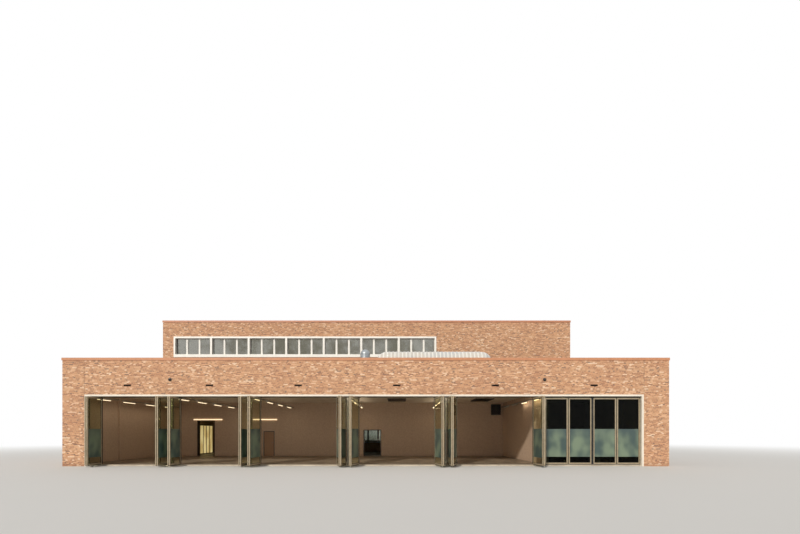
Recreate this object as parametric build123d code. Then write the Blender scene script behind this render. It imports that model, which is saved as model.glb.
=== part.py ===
from build123d import *
import os
from math import acos, cos, degrees, radians, sin

# Ambulance station: a brick vehicle hall with six bays behind a flat roof,
# and a taller three storey wing along the back of the hall.
# Millimetres. +X runs right along the front, +Y runs back into the building, +Z is up.
# The origin lies on the ground, in the middle of the hall's plan.

# Plan of the hall
bay_widths = (4800, 4430, 5540, 5540, 5540, 5570)
left_pier_width = 1250
right_pier_width = 1430
hall_depth = 10400
wall_thickness = 365

# Levels of the hall
slab_height = 70
opening_height = 4030
hall_wall_height = 5950
hall_parapet = 400
hall_roof_thickness = 350
ceiling_above_opening = 270
ceiling_thickness = 60
shaft_lining = 20
coping_height = 150
coping_overhang = 30
coping_joint = 4
coping_bevel = 12

# Rear wing
wing_depth = 8600
wing_right_setback = 1500
wing_wall_height = 10750
first_floor_level = 3600
second_floor_level = 7100
floor_thickness = 250
wing_parapet = 350
wing_roof_thickness = 300

# Strip windows
window_units = 7
lights_per_unit = 3
window_unit_width = 3000
window_height = 1650
window_sill_above_floor = 860
front_window_offset = 880
window_frame_face = 140
window_sill_face = 230
window_frame_projection = 60
window_frame_depth = 260
mullion_face = 105
unit_divider_face = 160
mullion_depth = 60
mullion_setback = 160
window_glass_thickness = 24

# Trim round the door opening and posts between the bays
trim_face = 100
trim_projection = 15
trim_depth = 120
trim_joint = 2
post_face = 100
post_depth = 130
post_bevel = 8

# Folding doors
door_plane_setback = 190
leaf_thickness = 58
leaf_bottom = 110
head_gap = 170
leaf_edge_bevel = 4
stile_face = 64
bead_face = 16
bead_depth = 42
leaf_glass_thickness = 26
frosted_bottom = 530
frosted_top = 2090
hinge_radius = 11
hinge_length = 130
hinge_play = 0.3
knuckle_sides = 6
flap_width = 38
flap_thickness = 3
hinge_inset = 210
jamb_gap = 15
centre_gap = 100
seal_width = 44
seal_depth = 40
seal_bevel = 10
brush_depth = 22
brush_clearance = 4
arm_width = 36
arm_thickness = 10
arm_bevel = 9
boss_radius = 16
boss_height = 15
boss_sides = 6
track_depth = 110
guide_inset = 90
drive_arm_share = 0.35
drive_arm_start = 150

# Angles of the opened leaves from the closed line, bay by bay:
# the jamb leaf and the free leaf on the left, then on the right
open_angles = (
    ((64, 88), (86.5, 71)),
    ((77, 86), (88, 72)),
    ((79.5, 82.5), (85, 76.5)),
    ((84, 77), (83.5, 78)),
    ((87, 75), (78, 84.5)),
)

# Threshold
threshold_rise = 6
threshold_depth = 240

# Vent slots over the bays
vent_width = 420
vent_height = 100
vent_above_opening = 465
vent_frame = 8
louvre_blades = 3
louvre_blade_thickness = 6
louvre_angle = 35
vent_setback = 25
vent_depth = 90

# Round lamps on the front
lamp_bays = (1, 5)
lamp_above_opening = 840
lamp_radius = 90
lamp_base_depth = 40
lamp_rim = 12
lamp_sides = 12
lamp_steps = 3

# Rooflight
rooflight_left = 400
rooflight_length = 7330
rooflight_setback = 3000
rooflight_radius = 700
rooflight_shell = 50
vault_sides = 10
vault_end_steps = 4
dome_last_angle = 80
curb_height = 750
curb_thickness = 80
rib_pitch = 270
rib_width = 50
rib_rise = 18
rib_flank = 12

# Roof vent cowl
cowl_x = -270
cowl_setback = 3000
cowl_radius = 300
cowl_height = 1590
cowl_sides = 20
cowl_steps = 5

# Fittings in the hall
pilaster_setback = 4300
pilaster_width = 260
pilaster_depth = 120
corridor_left = -14300
corridor_width = 1400
corridor_height = 2900
inner_door_left = -8990
inner_door_width = 870
inner_door_height = 2050
doorway_left = -1000
doorway_width = 1420
doorway_height = 2160
door_frame_face = 60
inner_door_thickness = 45
inner_frame_projection = 20
light_drop = 450
light_length = 1300
light_width = 110
light_height = 70
light_side_angle = 70
first_light_setback = 850
last_light_setback = 900
lights_per_row = 4
rail_size = 60
rod_radius = 8
rod_sides = 4
display_left = 9200
display_width = 760
display_height = 830
display_drop = 130
display_depth = 160
display_bevel = 20

# Lamps on the back wall over two of the doorways: how far each runs past the doorway
wall_lamp_gap = 30
wall_lamp_height = 80
wall_lamp_depth = 70
wall_lamp_bevel = 15
corridor_lamp_overrun = (270, 600)
inner_door_lamp_overrun = (850, 200)

# Glazed screen along the corridor behind the back wall
screen_x = -15300
screen_setback = 1950
screen_panels = 5
screen_pitch = 640
screen_post = 70
screen_height = 2550
screen_glass_thickness = 12

# Worked out from the sizes above
opening_width = sum(bay_widths)
hall_width = left_pier_width + opening_width + right_pier_width
left_face = -hall_width / 2
right_face = hall_width / 2
front_face = -hall_depth / 2
wing_face = hall_depth / 2
rear_face = wing_face + wing_depth
wing_right = right_face - wing_right_setback
hall_roof_top = hall_wall_height - hall_parapet
deck_bottom = hall_roof_top - hall_roof_thickness
wing_roof_top = wing_wall_height - wing_parapet
ceiling_bottom = opening_height + ceiling_above_opening
ceiling_top = ceiling_bottom + ceiling_thickness
opening_left = left_face + left_pier_width
opening_right = right_face - right_pier_width
door_plane = front_face + door_plane_setback
bay_lines = [opening_left + sum(bay_widths[:n]) for n in range(len(bay_widths) + 1)]
bay_lines[0] += trim_face - post_face / 2
bay_lines[-1] -= trim_face - post_face / 2
leaf_top = opening_height - head_gap
track_bottom = leaf_top + arm_thickness + boss_height
hinge_levels = (leaf_bottom + hinge_inset, (leaf_bottom + leaf_top) / 2, leaf_top - hinge_inset)
vent_sill = opening_height + vent_above_opening
lamp_level = opening_height + lamp_above_opening
light_level = ceiling_bottom - light_drop
light_run = hall_depth - first_light_setback - last_light_setback - light_length
light_pitch = light_run / (lights_per_row - 1)
display_bottom = ceiling_bottom - display_drop - display_height
window_length = window_units * window_unit_width


def block(x0, x1, y0, y1, z0, z1):
    """A straight slab or post between two corners."""
    size = Box(x1 - x0, y1 - y0, z1 - z0, align=(Align.MIN, Align.MIN, Align.MIN))
    return Pos(x0, y0, z0) * size


def front_rectangle(x0, x1, z0, z1):
    """A rectangle that stands in the plane of the front, at y = 0."""
    return Plane.XZ * Pos((x0 + x1) / 2, (z0 + z1) / 2) * Rectangle(x1 - x0, z1 - z0)


def upright(sketch, y0, depth):
    """Runs an upright sketch back from y0 by depth."""
    return Pos(0, y0, 0) * extrude(sketch, amount=depth, dir=(0, 1, 0))


def round_bar(radius, height, sides):
    """A round bar drawn with flat sides."""
    return extrude(RegularPolygon(radius, sides), amount=height)


def faceted(rings):
    """A closed solid through rings of points, with flat facets from ring to ring."""
    faces = [Face(Wire.make_polygon(ring)) for ring in (rings[0], rings[-1])]
    for low, high in zip(rings, rings[1:]):
        for n in range(len(low)):
            after = (n + 1) % len(low)
            faces.append(Face(Wire.make_polygon([low[n], low[after], high[after], high[n]])))
    return Solid(Shell(faces))


def dome_steps(radius, steps):
    """Radius and height of each ring of a half ball."""
    climbs = [radians(dome_last_angle * step / steps) for step in range(steps + 1)]
    return [(radius * cos(climb), radius * sin(climb)) for climb in climbs]


def domed_end(radius, sides, steps):
    """A half ball drawn in flat facets, standing on its widest ring."""
    turns = [radians(360 * n / sides) for n in range(sides)]
    rings = [[(reach * cos(turn), reach * sin(turn), level) for turn in turns]
             for reach, level in dome_steps(radius, steps)]
    return faceted(rings)


def together(pieces):
    """Several separate solids that share one node."""
    solids = []
    for piece in pieces:
        solids += piece.solids()
    return Compound(children=solids)


def save(shape, node):
    """Writes one node."""
    export_step(shape, f"parts/{node}.step")


# Walls, floors and roofs of the hall


def vent_opening(bay):
    """The slot over the middle of a bay."""
    middle = opening_left + sum(bay_widths[:bay]) + bay_widths[bay] / 2
    half = vent_width / 2
    return front_rectangle(middle - half, middle + half, vent_sill, vent_sill + vent_height)


def front_wall_over_doors():
    """The brick band over the doors, with a slot over each bay."""
    face = front_rectangle(left_face, right_face, opening_height, hall_wall_height)
    for bay in range(len(bay_widths)):
        face -= vent_opening(bay)
    return upright(face, front_face, wall_thickness)


def hall_side_wall(side):
    """A side wall with its pilaster. Side is -1 on the left and 1 on the right."""
    outer = side * hall_width / 2
    inner = outer - side * wall_thickness
    pier = inner - side * pilaster_depth
    start = front_face + wall_thickness
    middle = front_face + pilaster_setback
    plan = Polyline(
        (outer, start), (inner, start), (inner, middle), (pier, middle),
        (pier, middle + pilaster_width), (inner, middle + pilaster_width),
        (inner, wing_face), (outer, wing_face), close=True,
    )
    wall = extrude(make_face(plan), amount=deck_bottom, dir=(0, 0, 1))
    return wall + block(min(outer, inner), max(outer, inner), start, wing_face, deck_bottom, hall_wall_height)


def hall_back_wall():
    """The wall between hall and wing, with its three doorways."""
    face = front_rectangle(left_face, right_face, 0, hall_wall_height)
    for left, width, height in inner_doorways():
        face -= front_rectangle(left, left + width, 0, height)
    return upright(face, wing_face, wall_thickness)


def inner_doorways():
    """Left edge, width and height of each doorway in the back wall."""
    return (
        (corridor_left, corridor_width, corridor_height),
        (inner_door_left, inner_door_width, inner_door_height),
        (doorway_left, doorway_width, doorway_height),
    )


def hall_plate(low, high):
    """A plate that fills the hall's plan between the walls, cut out round the pilasters."""
    plate = block(left_face + wall_thickness, right_face - wall_thickness,
                  front_face + wall_thickness, wing_face, low, high)
    middle = front_face + pilaster_setback
    for side in (-1, 1):
        inner = side * (hall_width / 2 - wall_thickness)
        pier = inner - side * pilaster_depth
        plate -= block(min(inner, pier), max(inner, pier), middle, middle + pilaster_width, low, high)
    return plate


def rooflight_well(low, high, lining=0):
    """The upright hole under the rooflight, or with a lining the outside of its shaft."""
    outline = rooflight_outline(rooflight_radius - curb_thickness + lining)
    return rooflight_place(low) * extrude(outline, amount=high - low)


def hall_roof():
    """The roof deck with the hole under the rooflight."""
    deck = block(left_face + wall_thickness, right_face - wall_thickness,
                 front_face + wall_thickness, wing_face, deck_bottom, hall_roof_top)
    return deck - rooflight_well(deck_bottom, hall_roof_top)


def hall_ceiling():
    """The ceiling under the deck, with a lined shaft up to the rooflight."""
    ceiling = hall_plate(ceiling_bottom, ceiling_top)
    ceiling += rooflight_well(ceiling_bottom, deck_bottom, shaft_lining)
    return ceiling - rooflight_well(ceiling_bottom, deck_bottom)


def hall_coping():
    """Metal coping along the front, the sides and the short return at the back."""
    low, high = hall_wall_height, hall_wall_height + coping_height
    out, wall = coping_overhang, wall_thickness + coping_overhang
    behind = front_face + wall + coping_joint
    runs = [
        block(left_face - out, right_face + out, front_face - out, front_face + wall, low, high),
        block(left_face - out, left_face + wall, behind, wing_face - coping_joint, low, high),
        block(right_face - wall, right_face + out, behind, wing_face - out - coping_joint, low, high),
        block(wing_right + coping_joint, right_face + out, wing_face - out,
              wing_face + wall, low, high),
    ]
    return together([bevelled(run) for run in runs])


def bevelled(run):
    """A coping length with its upper edges dressed down."""
    return chamfer(run.faces().sort_by(Axis.Z)[-1].edges(), coping_bevel)


# Rear wing


def wing_front_wall():
    """The upper storey's wall over the hall roof, with its strip window cut through."""
    face = front_rectangle(left_face, wing_right, hall_wall_height, wing_wall_height)
    face -= window_hole(left_face + front_window_offset, second_floor_level)
    return upright(face, wing_face, wall_thickness)


def window_hole(left, floor_level):
    """The outline of a strip window over a floor."""
    sill = floor_level + window_sill_above_floor
    return front_rectangle(left, left + window_length, sill, sill + window_height)


def storey_levels():
    """Floor levels of the wing."""
    return (slab_height, first_floor_level, second_floor_level)


def rear_window_left():
    """The left end of the strip windows in the rear wall, which are centred there."""
    return (left_face + wing_right - window_length) / 2


def wing_side_wall(side):
    """A side wall of the wing. Side is -1 on the left and 1 on the right."""
    outer = left_face if side < 0 else wing_right
    inner = outer - side * wall_thickness
    return block(min(outer, inner), max(outer, inner), wing_face + wall_thickness,
                 rear_face - wall_thickness, 0, wing_wall_height)


def wing_rear_wall():
    """The rear wall with a strip window in each storey."""
    face = front_rectangle(left_face, wing_right, 0, wing_wall_height)
    for level in storey_levels():
        face -= window_hole(rear_window_left(), level)
    return upright(face, rear_face - wall_thickness, wall_thickness)


def wing_slab(top, thickness):
    """A floor or roof slab between the wing's walls."""
    return block(left_face + wall_thickness, wing_right - wall_thickness,
                 wing_face + wall_thickness, rear_face - wall_thickness, top - thickness, top)


def wing_coping():
    """Metal coping round the wing's four walls, in four lengths."""
    low, high = wing_wall_height, wing_wall_height + coping_height
    out, wall = coping_overhang, wall_thickness + coping_overhang
    near, far = wing_face + wall + coping_joint, rear_face - wall - coping_joint
    runs = [
        block(left_face - out, wing_right + out, wing_face - out, wing_face + wall, low, high),
        block(left_face - out, wing_right + out, rear_face - wall, rear_face + out, low, high),
        block(left_face - out, left_face + wall, near, far, low, high),
        block(wing_right - wall, wing_right + out, near, far, low, high),
    ]
    return together([bevelled(run) for run in runs])


# Strip windows


def strip_window_frame(left, floor_level, outward):
    """A projecting metal frame with its mullions. Outward is -1 to the front and 1 to the rear."""
    sill = floor_level + window_sill_above_floor
    head = sill + window_height
    face = window_frame_face
    outer = front_rectangle(left, left + window_length, sill, head)
    low, high = sill + window_sill_face, head - face
    clear = front_rectangle(left + face, left + window_length - face, low, high)
    collar = upright(outer - clear, 0, window_frame_depth)
    light_width = window_unit_width / lights_per_unit
    back = mullion_setback + mullion_depth
    bars = []
    for light in range(1, window_units * lights_per_unit):
        is_divider = light % lights_per_unit == 0
        half = (unit_divider_face if is_divider else mullion_face) / 2
        middle = left + light * light_width
        near = 0 if is_divider else mullion_setback
        bars.append(block(middle - half, middle + half, near, back, low, high))
    frame = collar + bars
    if outward < 0:
        return Pos(0, wing_face - window_frame_projection, 0) * frame
    return Pos(0, rear_face + window_frame_projection, 0) * mirror(frame, about=Plane.XZ)


def strip_window_glass(left, floor_level, outward):
    """One sheet of glass behind the mullions of a strip window."""
    sill = floor_level + window_sill_above_floor
    low, high = sill + window_sill_face, sill + window_height - window_frame_face
    near = mullion_setback + mullion_depth - window_frame_projection
    far = near + window_glass_thickness
    if outward < 0:
        y0, y1 = wing_face + near, wing_face + far
    else:
        y0, y1 = rear_face - far, rear_face - near
    return block(left + window_frame_face, left + window_length - window_frame_face, y0, y1, low, high)


# Door opening


def opening_trim():
    """Metal trim round the whole door opening: two jambs and a head."""
    y0, y1 = front_face - trim_projection, front_face + trim_depth
    low = opening_height - trim_face
    return together([
        block(opening_left, opening_left + trim_face, y0, y1, 0, low - trim_joint),
        block(opening_right - trim_face, opening_right, y0, y1, 0, low - trim_joint),
        block(opening_left, opening_right, y0, y1, low, opening_height),
    ])


def door_posts():
    """Slim posts between the bays and at both jambs, with bevelled front edges."""
    posts = []
    for line in bay_lines:
        post = block(line - post_face / 2, line + post_face / 2, front_face + trim_depth,
                     front_face + trim_depth + post_depth, 0, track_bottom)
        posts.append(chamfer(post.edges().filter_by(Axis.Z).group_by(Axis.Y)[0], post_bevel))
    return together(posts)


def head_track():
    """The channel over the leaves in which the guide rollers run."""
    y0 = front_face + trim_depth
    y1 = y0 + post_depth
    return block(opening_left, opening_right, y0, y1, track_bottom, opening_height)


def thresholds():
    """A pale strip across the foot of each bay."""
    strips = []
    for bay in range(len(bay_widths)):
        x0 = bay_lines[bay] + post_face / 2
        x1 = bay_lines[bay + 1] - post_face / 2
        strips.append(block(x0, x1, front_face + wall_thickness - threshold_depth,
                            front_face + wall_thickness, 0, slab_height + threshold_rise))
    return together(strips)


# Folding leaves. A leaf is drawn closed, standing along +X from its hinge at the origin.


def leaf_width(bay):
    """Width of one of a bay's four leaves."""
    clear = bay_lines[bay + 1] - bay_lines[bay] - post_face
    return (clear - centre_gap - 2 * jamb_gap - 2 * hinge_radius) / 4


def leaf_frame(width):
    """Stiles and rails with the glazing bead inside them."""
    tall = leaf_top - leaf_bottom
    middle = (leaf_top + leaf_bottom) / 2
    place = Plane.XZ * Pos(width / 2, middle)
    outer = place * Rectangle(width, tall)
    sight = place * Rectangle(width - 2 * stile_face, tall - 2 * stile_face)
    inner = place * Rectangle(width - 2 * stile_face - 2 * bead_face, tall - 2 * stile_face - 2 * bead_face)
    ring = extrude(outer - sight, amount=leaf_thickness / 2, both=True)
    ring = chamfer(ring.edges().filter_by(Axis.Z).group_by(Axis.X)[0], leaf_edge_bevel)
    ring = chamfer(ring.edges().filter_by(Axis.Z).group_by(Axis.X)[-1], leaf_edge_bevel)
    return ring + extrude(sight - inner, amount=bead_depth / 2, both=True)


def leaf_pane(width, z0, z1):
    """One pane between the beads, from z0 to z1."""
    edge = stile_face + bead_face
    half = leaf_glass_thickness / 2
    return block(edge, width - edge, -half, half, z0, z1)


def clear_panes(width):
    """The clear glass over and under the frosted band."""
    edge = stile_face + bead_face
    return [leaf_pane(width, leaf_bottom + edge, frosted_bottom),
            leaf_pane(width, frosted_top, leaf_top - edge)]


def leaf_placings(bay):
    """Where a bay's four leaves stand: location, mirrored or not, and kind of leaf."""
    width = leaf_width(bay)
    angles = open_angles[bay] if bay < len(open_angles) else ((0, 0), (0, 0))
    reach = leaf_thickness / 2 + hinge_radius
    placings = []
    for side, (jamb_angle, free_angle) in zip((1, -1), angles):
        post = bay_lines[bay] + post_face / 2 if side > 0 else bay_lines[bay + 1] - post_face / 2
        pin = Vector(0, door_plane - reach)
        jamb_turn = Location((0, 0, 0), (0, 0, -jamb_angle))
        jamb_leaf = Location((pin.X + jamb_gap, pin.Y, 0)) * jamb_turn * Location((0, reach, 0))
        knuckle = jamb_leaf * Location((width + hinge_radius, reach, 0))
        free_leaf = Location(knuckle.position) * Location((0, 0, 0), (0, 0, free_angle))
        free_leaf = free_leaf * Location((hinge_radius, -reach, 0))
        placings.append((side, post, jamb_leaf, free_leaf))
    return placings


def put(shape, side, post, location):
    """Places a leaf's piece in its pack, on the left or the right of a bay."""
    moved = location * shape
    if side < 0:
        moved = mirror(moved, about=Plane.YZ)
    return Pos(post, 0, 0) * moved


def each_leaf(bay):
    """Side, post and location of each leaf of a bay."""
    for side, post, jamb_leaf, free_leaf in leaf_placings(bay):
        yield side, post, jamb_leaf
        yield side, post, free_leaf


def bay_leaf_frames(bay):
    """The four leaf frames of one bay."""
    frame = leaf_frame(leaf_width(bay))
    return together([put(frame, *place) for place in each_leaf(bay)])


def all_clear_glass(bays):
    """Clear panes of the leaves of several bays."""
    panes = []
    for bay in bays:
        for place in each_leaf(bay):
            panes += [put(pane, *place) for pane in clear_panes(leaf_width(bay))]
    return together(panes)


def all_frosted_glass(bays):
    """Frosted bands of the leaves of several bays."""
    panes = []
    for bay in bays:
        for place in each_leaf(bay):
            panes.append(put(leaf_pane(leaf_width(bay), frosted_bottom, frosted_top), *place))
    return together(panes)


def edge_seals(bays):
    """Rubber strips on the free edges that meet in the middle of a bay."""
    strips = []
    for bay in bays:
        width = leaf_width(bay)
        strip = block(width, width + seal_width, -seal_depth / 2, seal_depth / 2, leaf_bottom, leaf_top)
        strip = chamfer(strip.edges().filter_by(Axis.Z).group_by(Axis.X)[-1], seal_bevel)
        for side, post, jamb_leaf, free_leaf in leaf_placings(bay):
            strips.append(put(strip, side, post, free_leaf))
    return together(strips)


def bottom_brushes(bays):
    """Brush strips under the leaves, down to the threshold."""
    strips = []
    low = slab_height + threshold_rise + brush_clearance
    for bay in bays:
        strip = block(stile_face, leaf_width(bay) - stile_face,
                      -brush_depth / 2, brush_depth / 2, low, leaf_bottom)
        strips += [put(strip, *place) for place in each_leaf(bay)]
    return together(strips)


def hinges(bays):
    """Hinges at the posts and between the leaves, each a knuckle with its flaps."""
    pieces = []
    reach = leaf_thickness / 2 + hinge_radius
    face = leaf_thickness / 2
    knuckle = RegularPolygon(hinge_radius - hinge_play, knuckle_sides)
    for bay in bays:
        width = leaf_width(bay)
        jamb_flap = flap(0, flap_width, -face - flap_thickness)
        far_flap = flap(width - flap_width, width + hinge_radius, face)
        near_flap = flap(-hinge_radius, flap_width, face)
        for side, post, jamb_leaf, free_leaf in leaf_placings(bay):
            pin = (jamb_leaf * Location((0, -reach, 0))).position
            middle = (jamb_leaf * Location((width + hinge_radius, reach, 0))).position
            plate = flap(0, jamb_gap, pin.Y - flap_thickness / 2)
            at_post = Pos(pin.X, pin.Y) * knuckle + jamb_leaf * jamb_flap + plate
            between = Pos(middle.X, middle.Y) * knuckle + jamb_leaf * far_flap + free_leaf * near_flap
            for outline in (at_post, between):
                hinge = extrude(outline, amount=hinge_length, dir=(0, 0, 1))
                for level in hinge_levels:
                    pieces.append(put(Pos(0, 0, level - hinge_length / 2) * hinge, side, post, Location()))
    return together(pieces)


def flap(x0, x1, y0):
    """The outline of a hinge flap, seen from above."""
    return Pos((x0 + x1) / 2, y0 + flap_thickness / 2) * Rectangle(x1 - x0, flap_thickness)


def flat_arm(start, end):
    """A flat bar with dressed ends between two points, lying on the leaf tops."""
    run = end - start
    outline = chamfer(Rectangle(run.length + arm_width, arm_width).vertices(), arm_bevel)
    turn = Rot(0, 0, degrees(acos(run.X / run.length)) * (1 if run.Y >= 0 else -1))
    middle = (start + end) / 2
    return Pos(middle.X, middle.Y, leaf_top) * turn * extrude(outline, amount=arm_thickness)


def guide_arms(bays):
    """A guide roller on each free leaf and a drive arm on each jamb leaf."""
    arms = []
    track_line = front_face + trim_depth + post_depth / 2
    for bay in bays:
        width = leaf_width(bay)
        for side, post, jamb_leaf, free_leaf in leaf_placings(bay):
            grip = (free_leaf * Location((width - guide_inset, 0, 0))).position
            roller = Vector(grip.X + guide_inset, track_line)
            elbow = (jamb_leaf * Location((width * drive_arm_share, 0, 0))).position
            pivot = Vector(drive_arm_start, track_line)
            for leaf_end, track_end in ((grip, roller), (elbow, pivot)):
                boss = Pos(track_end.X, track_end.Y, leaf_top + arm_thickness)
                boss *= round_bar(boss_radius, boss_height, boss_sides)
                arm = flat_arm(Vector(leaf_end.X, leaf_end.Y), track_end) + boss
                arms.append(put(arm, side, post, Location()))
    return together(arms)


# Small pieces on the front


def vent_louvres():
    """A louvre with sloping blades in each slot over the bays."""
    louvres = []
    for bay in range(len(bay_widths)):
        middle = opening_left + sum(bay_widths[:bay]) + bay_widths[bay] / 2
        outer = vent_opening(bay)
        inner = front_rectangle(middle - vent_width / 2 + vent_frame, middle + vent_width / 2 - vent_frame,
                                vent_sill + vent_frame, vent_sill + vent_height - vent_frame)
        louvre = upright(outer - inner, front_face + vent_setback, vent_depth)
        pitch = (vent_height - 2 * vent_frame) / louvre_blades
        for blade in range(louvre_blades):
            level = vent_sill + vent_frame + pitch * (blade + 0.5)
            slat = Box(vent_width - vent_frame, pitch, louvre_blade_thickness)
            place = Pos(middle, front_face + vent_setback + vent_depth / 2, level)
            louvre += place * Rot(louvre_angle, 0, 0) * slat
        louvres.append(louvre)
    return together(louvres)


def front_lamps():
    """Round lamps on the brickwork over two of the posts."""
    lamps = []
    for line in lamp_bays:
        base = round_bar(lamp_radius, lamp_base_depth, lamp_sides)
        lamp = base + Pos(0, 0, lamp_base_depth) * domed_end(lamp_radius - lamp_rim, lamp_sides, lamp_steps)
        lamps.append(Pos(bay_lines[line], front_face, lamp_level) * Rot(90, 0, 0) * lamp)
    return together(lamps)


# Roof pieces


def rooflight_half_ring(radius):
    """Corners of the vault's facets, from one springing over the top to the other."""
    return [(radius * cos(radians(180 * n / vault_sides)), radius * sin(radians(180 * n / vault_sides)))
            for n in range(vault_sides + 1)]


def rooflight_outline(radius):
    """The plan of the rooflight: a long slot whose ends are drawn in the vault's facets."""
    half = rooflight_length / 2 - rooflight_radius
    right = [(half + y, x) for x, y in rooflight_half_ring(radius)]
    left = [(-half - y, -x) for x, y in rooflight_half_ring(radius)]
    return make_face(Polyline(*right, *left, close=True))


def rooflight_place(z):
    """The middle of the rooflight at a level."""
    return Pos(rooflight_left + rooflight_length / 2, front_face + rooflight_setback, z)


def rooflight_curb():
    """The upstand under the rooflight, which follows its round ends."""
    outer = extrude(rooflight_outline(rooflight_radius), amount=curb_height)
    inner = extrude(rooflight_outline(rooflight_radius - curb_thickness), amount=curb_height)
    return rooflight_place(hall_roof_top) * (outer - inner)


def vault_section(radius, x):
    """Points of the vault's half round section at a place along it."""
    return [(x, y, z) for y, z in rooflight_half_ring(radius)]


def vault(radius, between=()):
    """A half cylinder with quarter balls on its ends. Between holds radius and place of further rings."""
    half = rooflight_length / 2 - rooflight_radius
    steps = dome_steps(radius, vault_end_steps)
    rings = [(reach, -half - out) for reach, out in reversed(steps)]
    rings += between
    rings += [(reach, half + out) for reach, out in steps]
    return faceted([vault_section(*ring) for ring in rings])


def vault_ribs(skin):
    """Radius and place of the rings that fold each raised rib out of the skin."""
    half = rooflight_length / 2 - rooflight_radius
    count = int((2 * half - rib_width - 2 * rib_flank) / rib_pitch)
    rings = []
    for n in range(count + 1):
        x = (n - count / 2) * rib_pitch
        edge = rib_width / 2
        rings += [(skin, x - edge - rib_flank), (rooflight_radius, x - edge),
                  (rooflight_radius, x + edge), (skin, x + edge + rib_flank)]
    return rings


def rooflight_vault():
    """The translucent shell on the curb, with its raised ribs."""
    skin = rooflight_radius - rib_rise
    shell = vault(skin, vault_ribs(skin)) - vault(skin - rooflight_shell)
    return rooflight_place(hall_roof_top + curb_height) * shell


def roof_cowl():
    """A round vent on the hall roof, with a domed top."""
    length = cowl_height - cowl_radius
    pipe = round_bar(cowl_radius, length, cowl_sides)
    dome = Pos(0, 0, length) * domed_end(cowl_radius, cowl_sides, cowl_steps)
    return Pos(cowl_x, front_face + cowl_setback, hall_roof_top) * (pipe + dome)


# Fittings in the hall


def light_rails():
    """Rails over the bay lines, hung from the ceiling on rods."""
    rails = []
    y0, y1 = front_face + wall_thickness, wing_face
    for line in bay_lines[:-1]:
        rail = block(line - rail_size / 2, line + rail_size / 2, y0, y1,
                     light_level + light_height, light_level + light_height + rail_size)
        for row in range(lights_per_row):
            y = front_face + first_light_setback + row * light_pitch + light_length / 2
            foot = light_level + light_height + rail_size
            rail += Pos(line, y, foot) * round_bar(rod_radius, ceiling_bottom - foot, rod_sides)
        rails.append(rail)
    return together(rails)


def hall_lights():
    """Long lamps under the rails."""
    lamps = []
    for line in bay_lines[:-1]:
        for row in range(lights_per_row):
            y = front_face + first_light_setback + row * light_pitch
            section = Pos(0, light_height / 2) * Trapezoid(light_width, light_height, light_side_angle)
            profile = Pos(line, y, light_level) * Rot(90, 0, 0) * section
            lamps.append(extrude(profile, amount=light_length, dir=(0, 1, 0)))
    return together(lamps)


def doorway_lamps():
    """The lamps on the back wall over two of the doorways."""
    lamps = []
    level = corridor_height + wall_lamp_gap
    doors = ((corridor_left, corridor_width, corridor_lamp_overrun),
             (inner_door_left, inner_door_width, inner_door_lamp_overrun))
    for left, width, (before, after) in doors:
        lamp = block(left - before, left + width + after, wing_face - wall_lamp_depth, wing_face,
                     level, level + wall_lamp_height)
        lamps.append(chamfer(lamp.faces().sort_by(Axis.Y)[0].edges(), wall_lamp_bevel))
    return together(lamps)


def corridor_screen():
    """The posts and rails of the glazed screen that stands along the corridor."""
    start = wing_face + screen_setback
    end = start + screen_panels * screen_pitch
    half = screen_post / 2
    rails = (slab_height, slab_height + screen_height - screen_post)
    screen = block(screen_x - half, screen_x + half, start - half, start + half,
                   slab_height, slab_height + screen_height)
    for panel in range(1, screen_panels + 1):
        y = start + panel * screen_pitch
        screen += block(screen_x - half, screen_x + half, y - half, y + half,
                        slab_height, slab_height + screen_height)
    for level in rails:
        screen += block(screen_x - half, screen_x + half, start, end, level, level + screen_post)
    return screen


def corridor_glass():
    """The panes of the corridor's screen."""
    start = wing_face + screen_setback
    half = screen_glass_thickness / 2
    panes = []
    for panel in range(screen_panels):
        near = start + panel * screen_pitch + screen_post / 2
        far = near + screen_pitch - screen_post
        panes.append(block(screen_x - half, screen_x + half, near, far,
                           slab_height + screen_post, slab_height + screen_height - screen_post))
    return together(panes)


def inner_door_frames():
    """Frames that line the doorways in the back wall, and the corridor's screen behind them."""
    frames = [corridor_screen()]
    for left, width, height in inner_doorways():
        outer = front_rectangle(left, left + width, slab_height, height)
        clear = front_rectangle(left + door_frame_face, left + width - door_frame_face,
                                slab_height, height - door_frame_face)
        frames.append(upright(outer - clear, wing_face - inner_frame_projection,
                              wall_thickness + inner_frame_projection))
    return together(frames)


def inner_door():
    """The closed wooden door in the back wall."""
    return block(inner_door_left + door_frame_face, inner_door_left + inner_door_width - door_frame_face,
                 wing_face, wing_face + inner_door_thickness, slab_height, inner_door_height - door_frame_face)


def wall_display():
    """The dark cabinet high on the back wall."""
    cabinet = block(display_left, display_left + display_width, wing_face - display_depth, wing_face,
                    display_bottom, display_bottom + display_height)
    return chamfer(cabinet.faces().sort_by(Axis.Y)[0].edges(), display_bevel)


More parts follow.
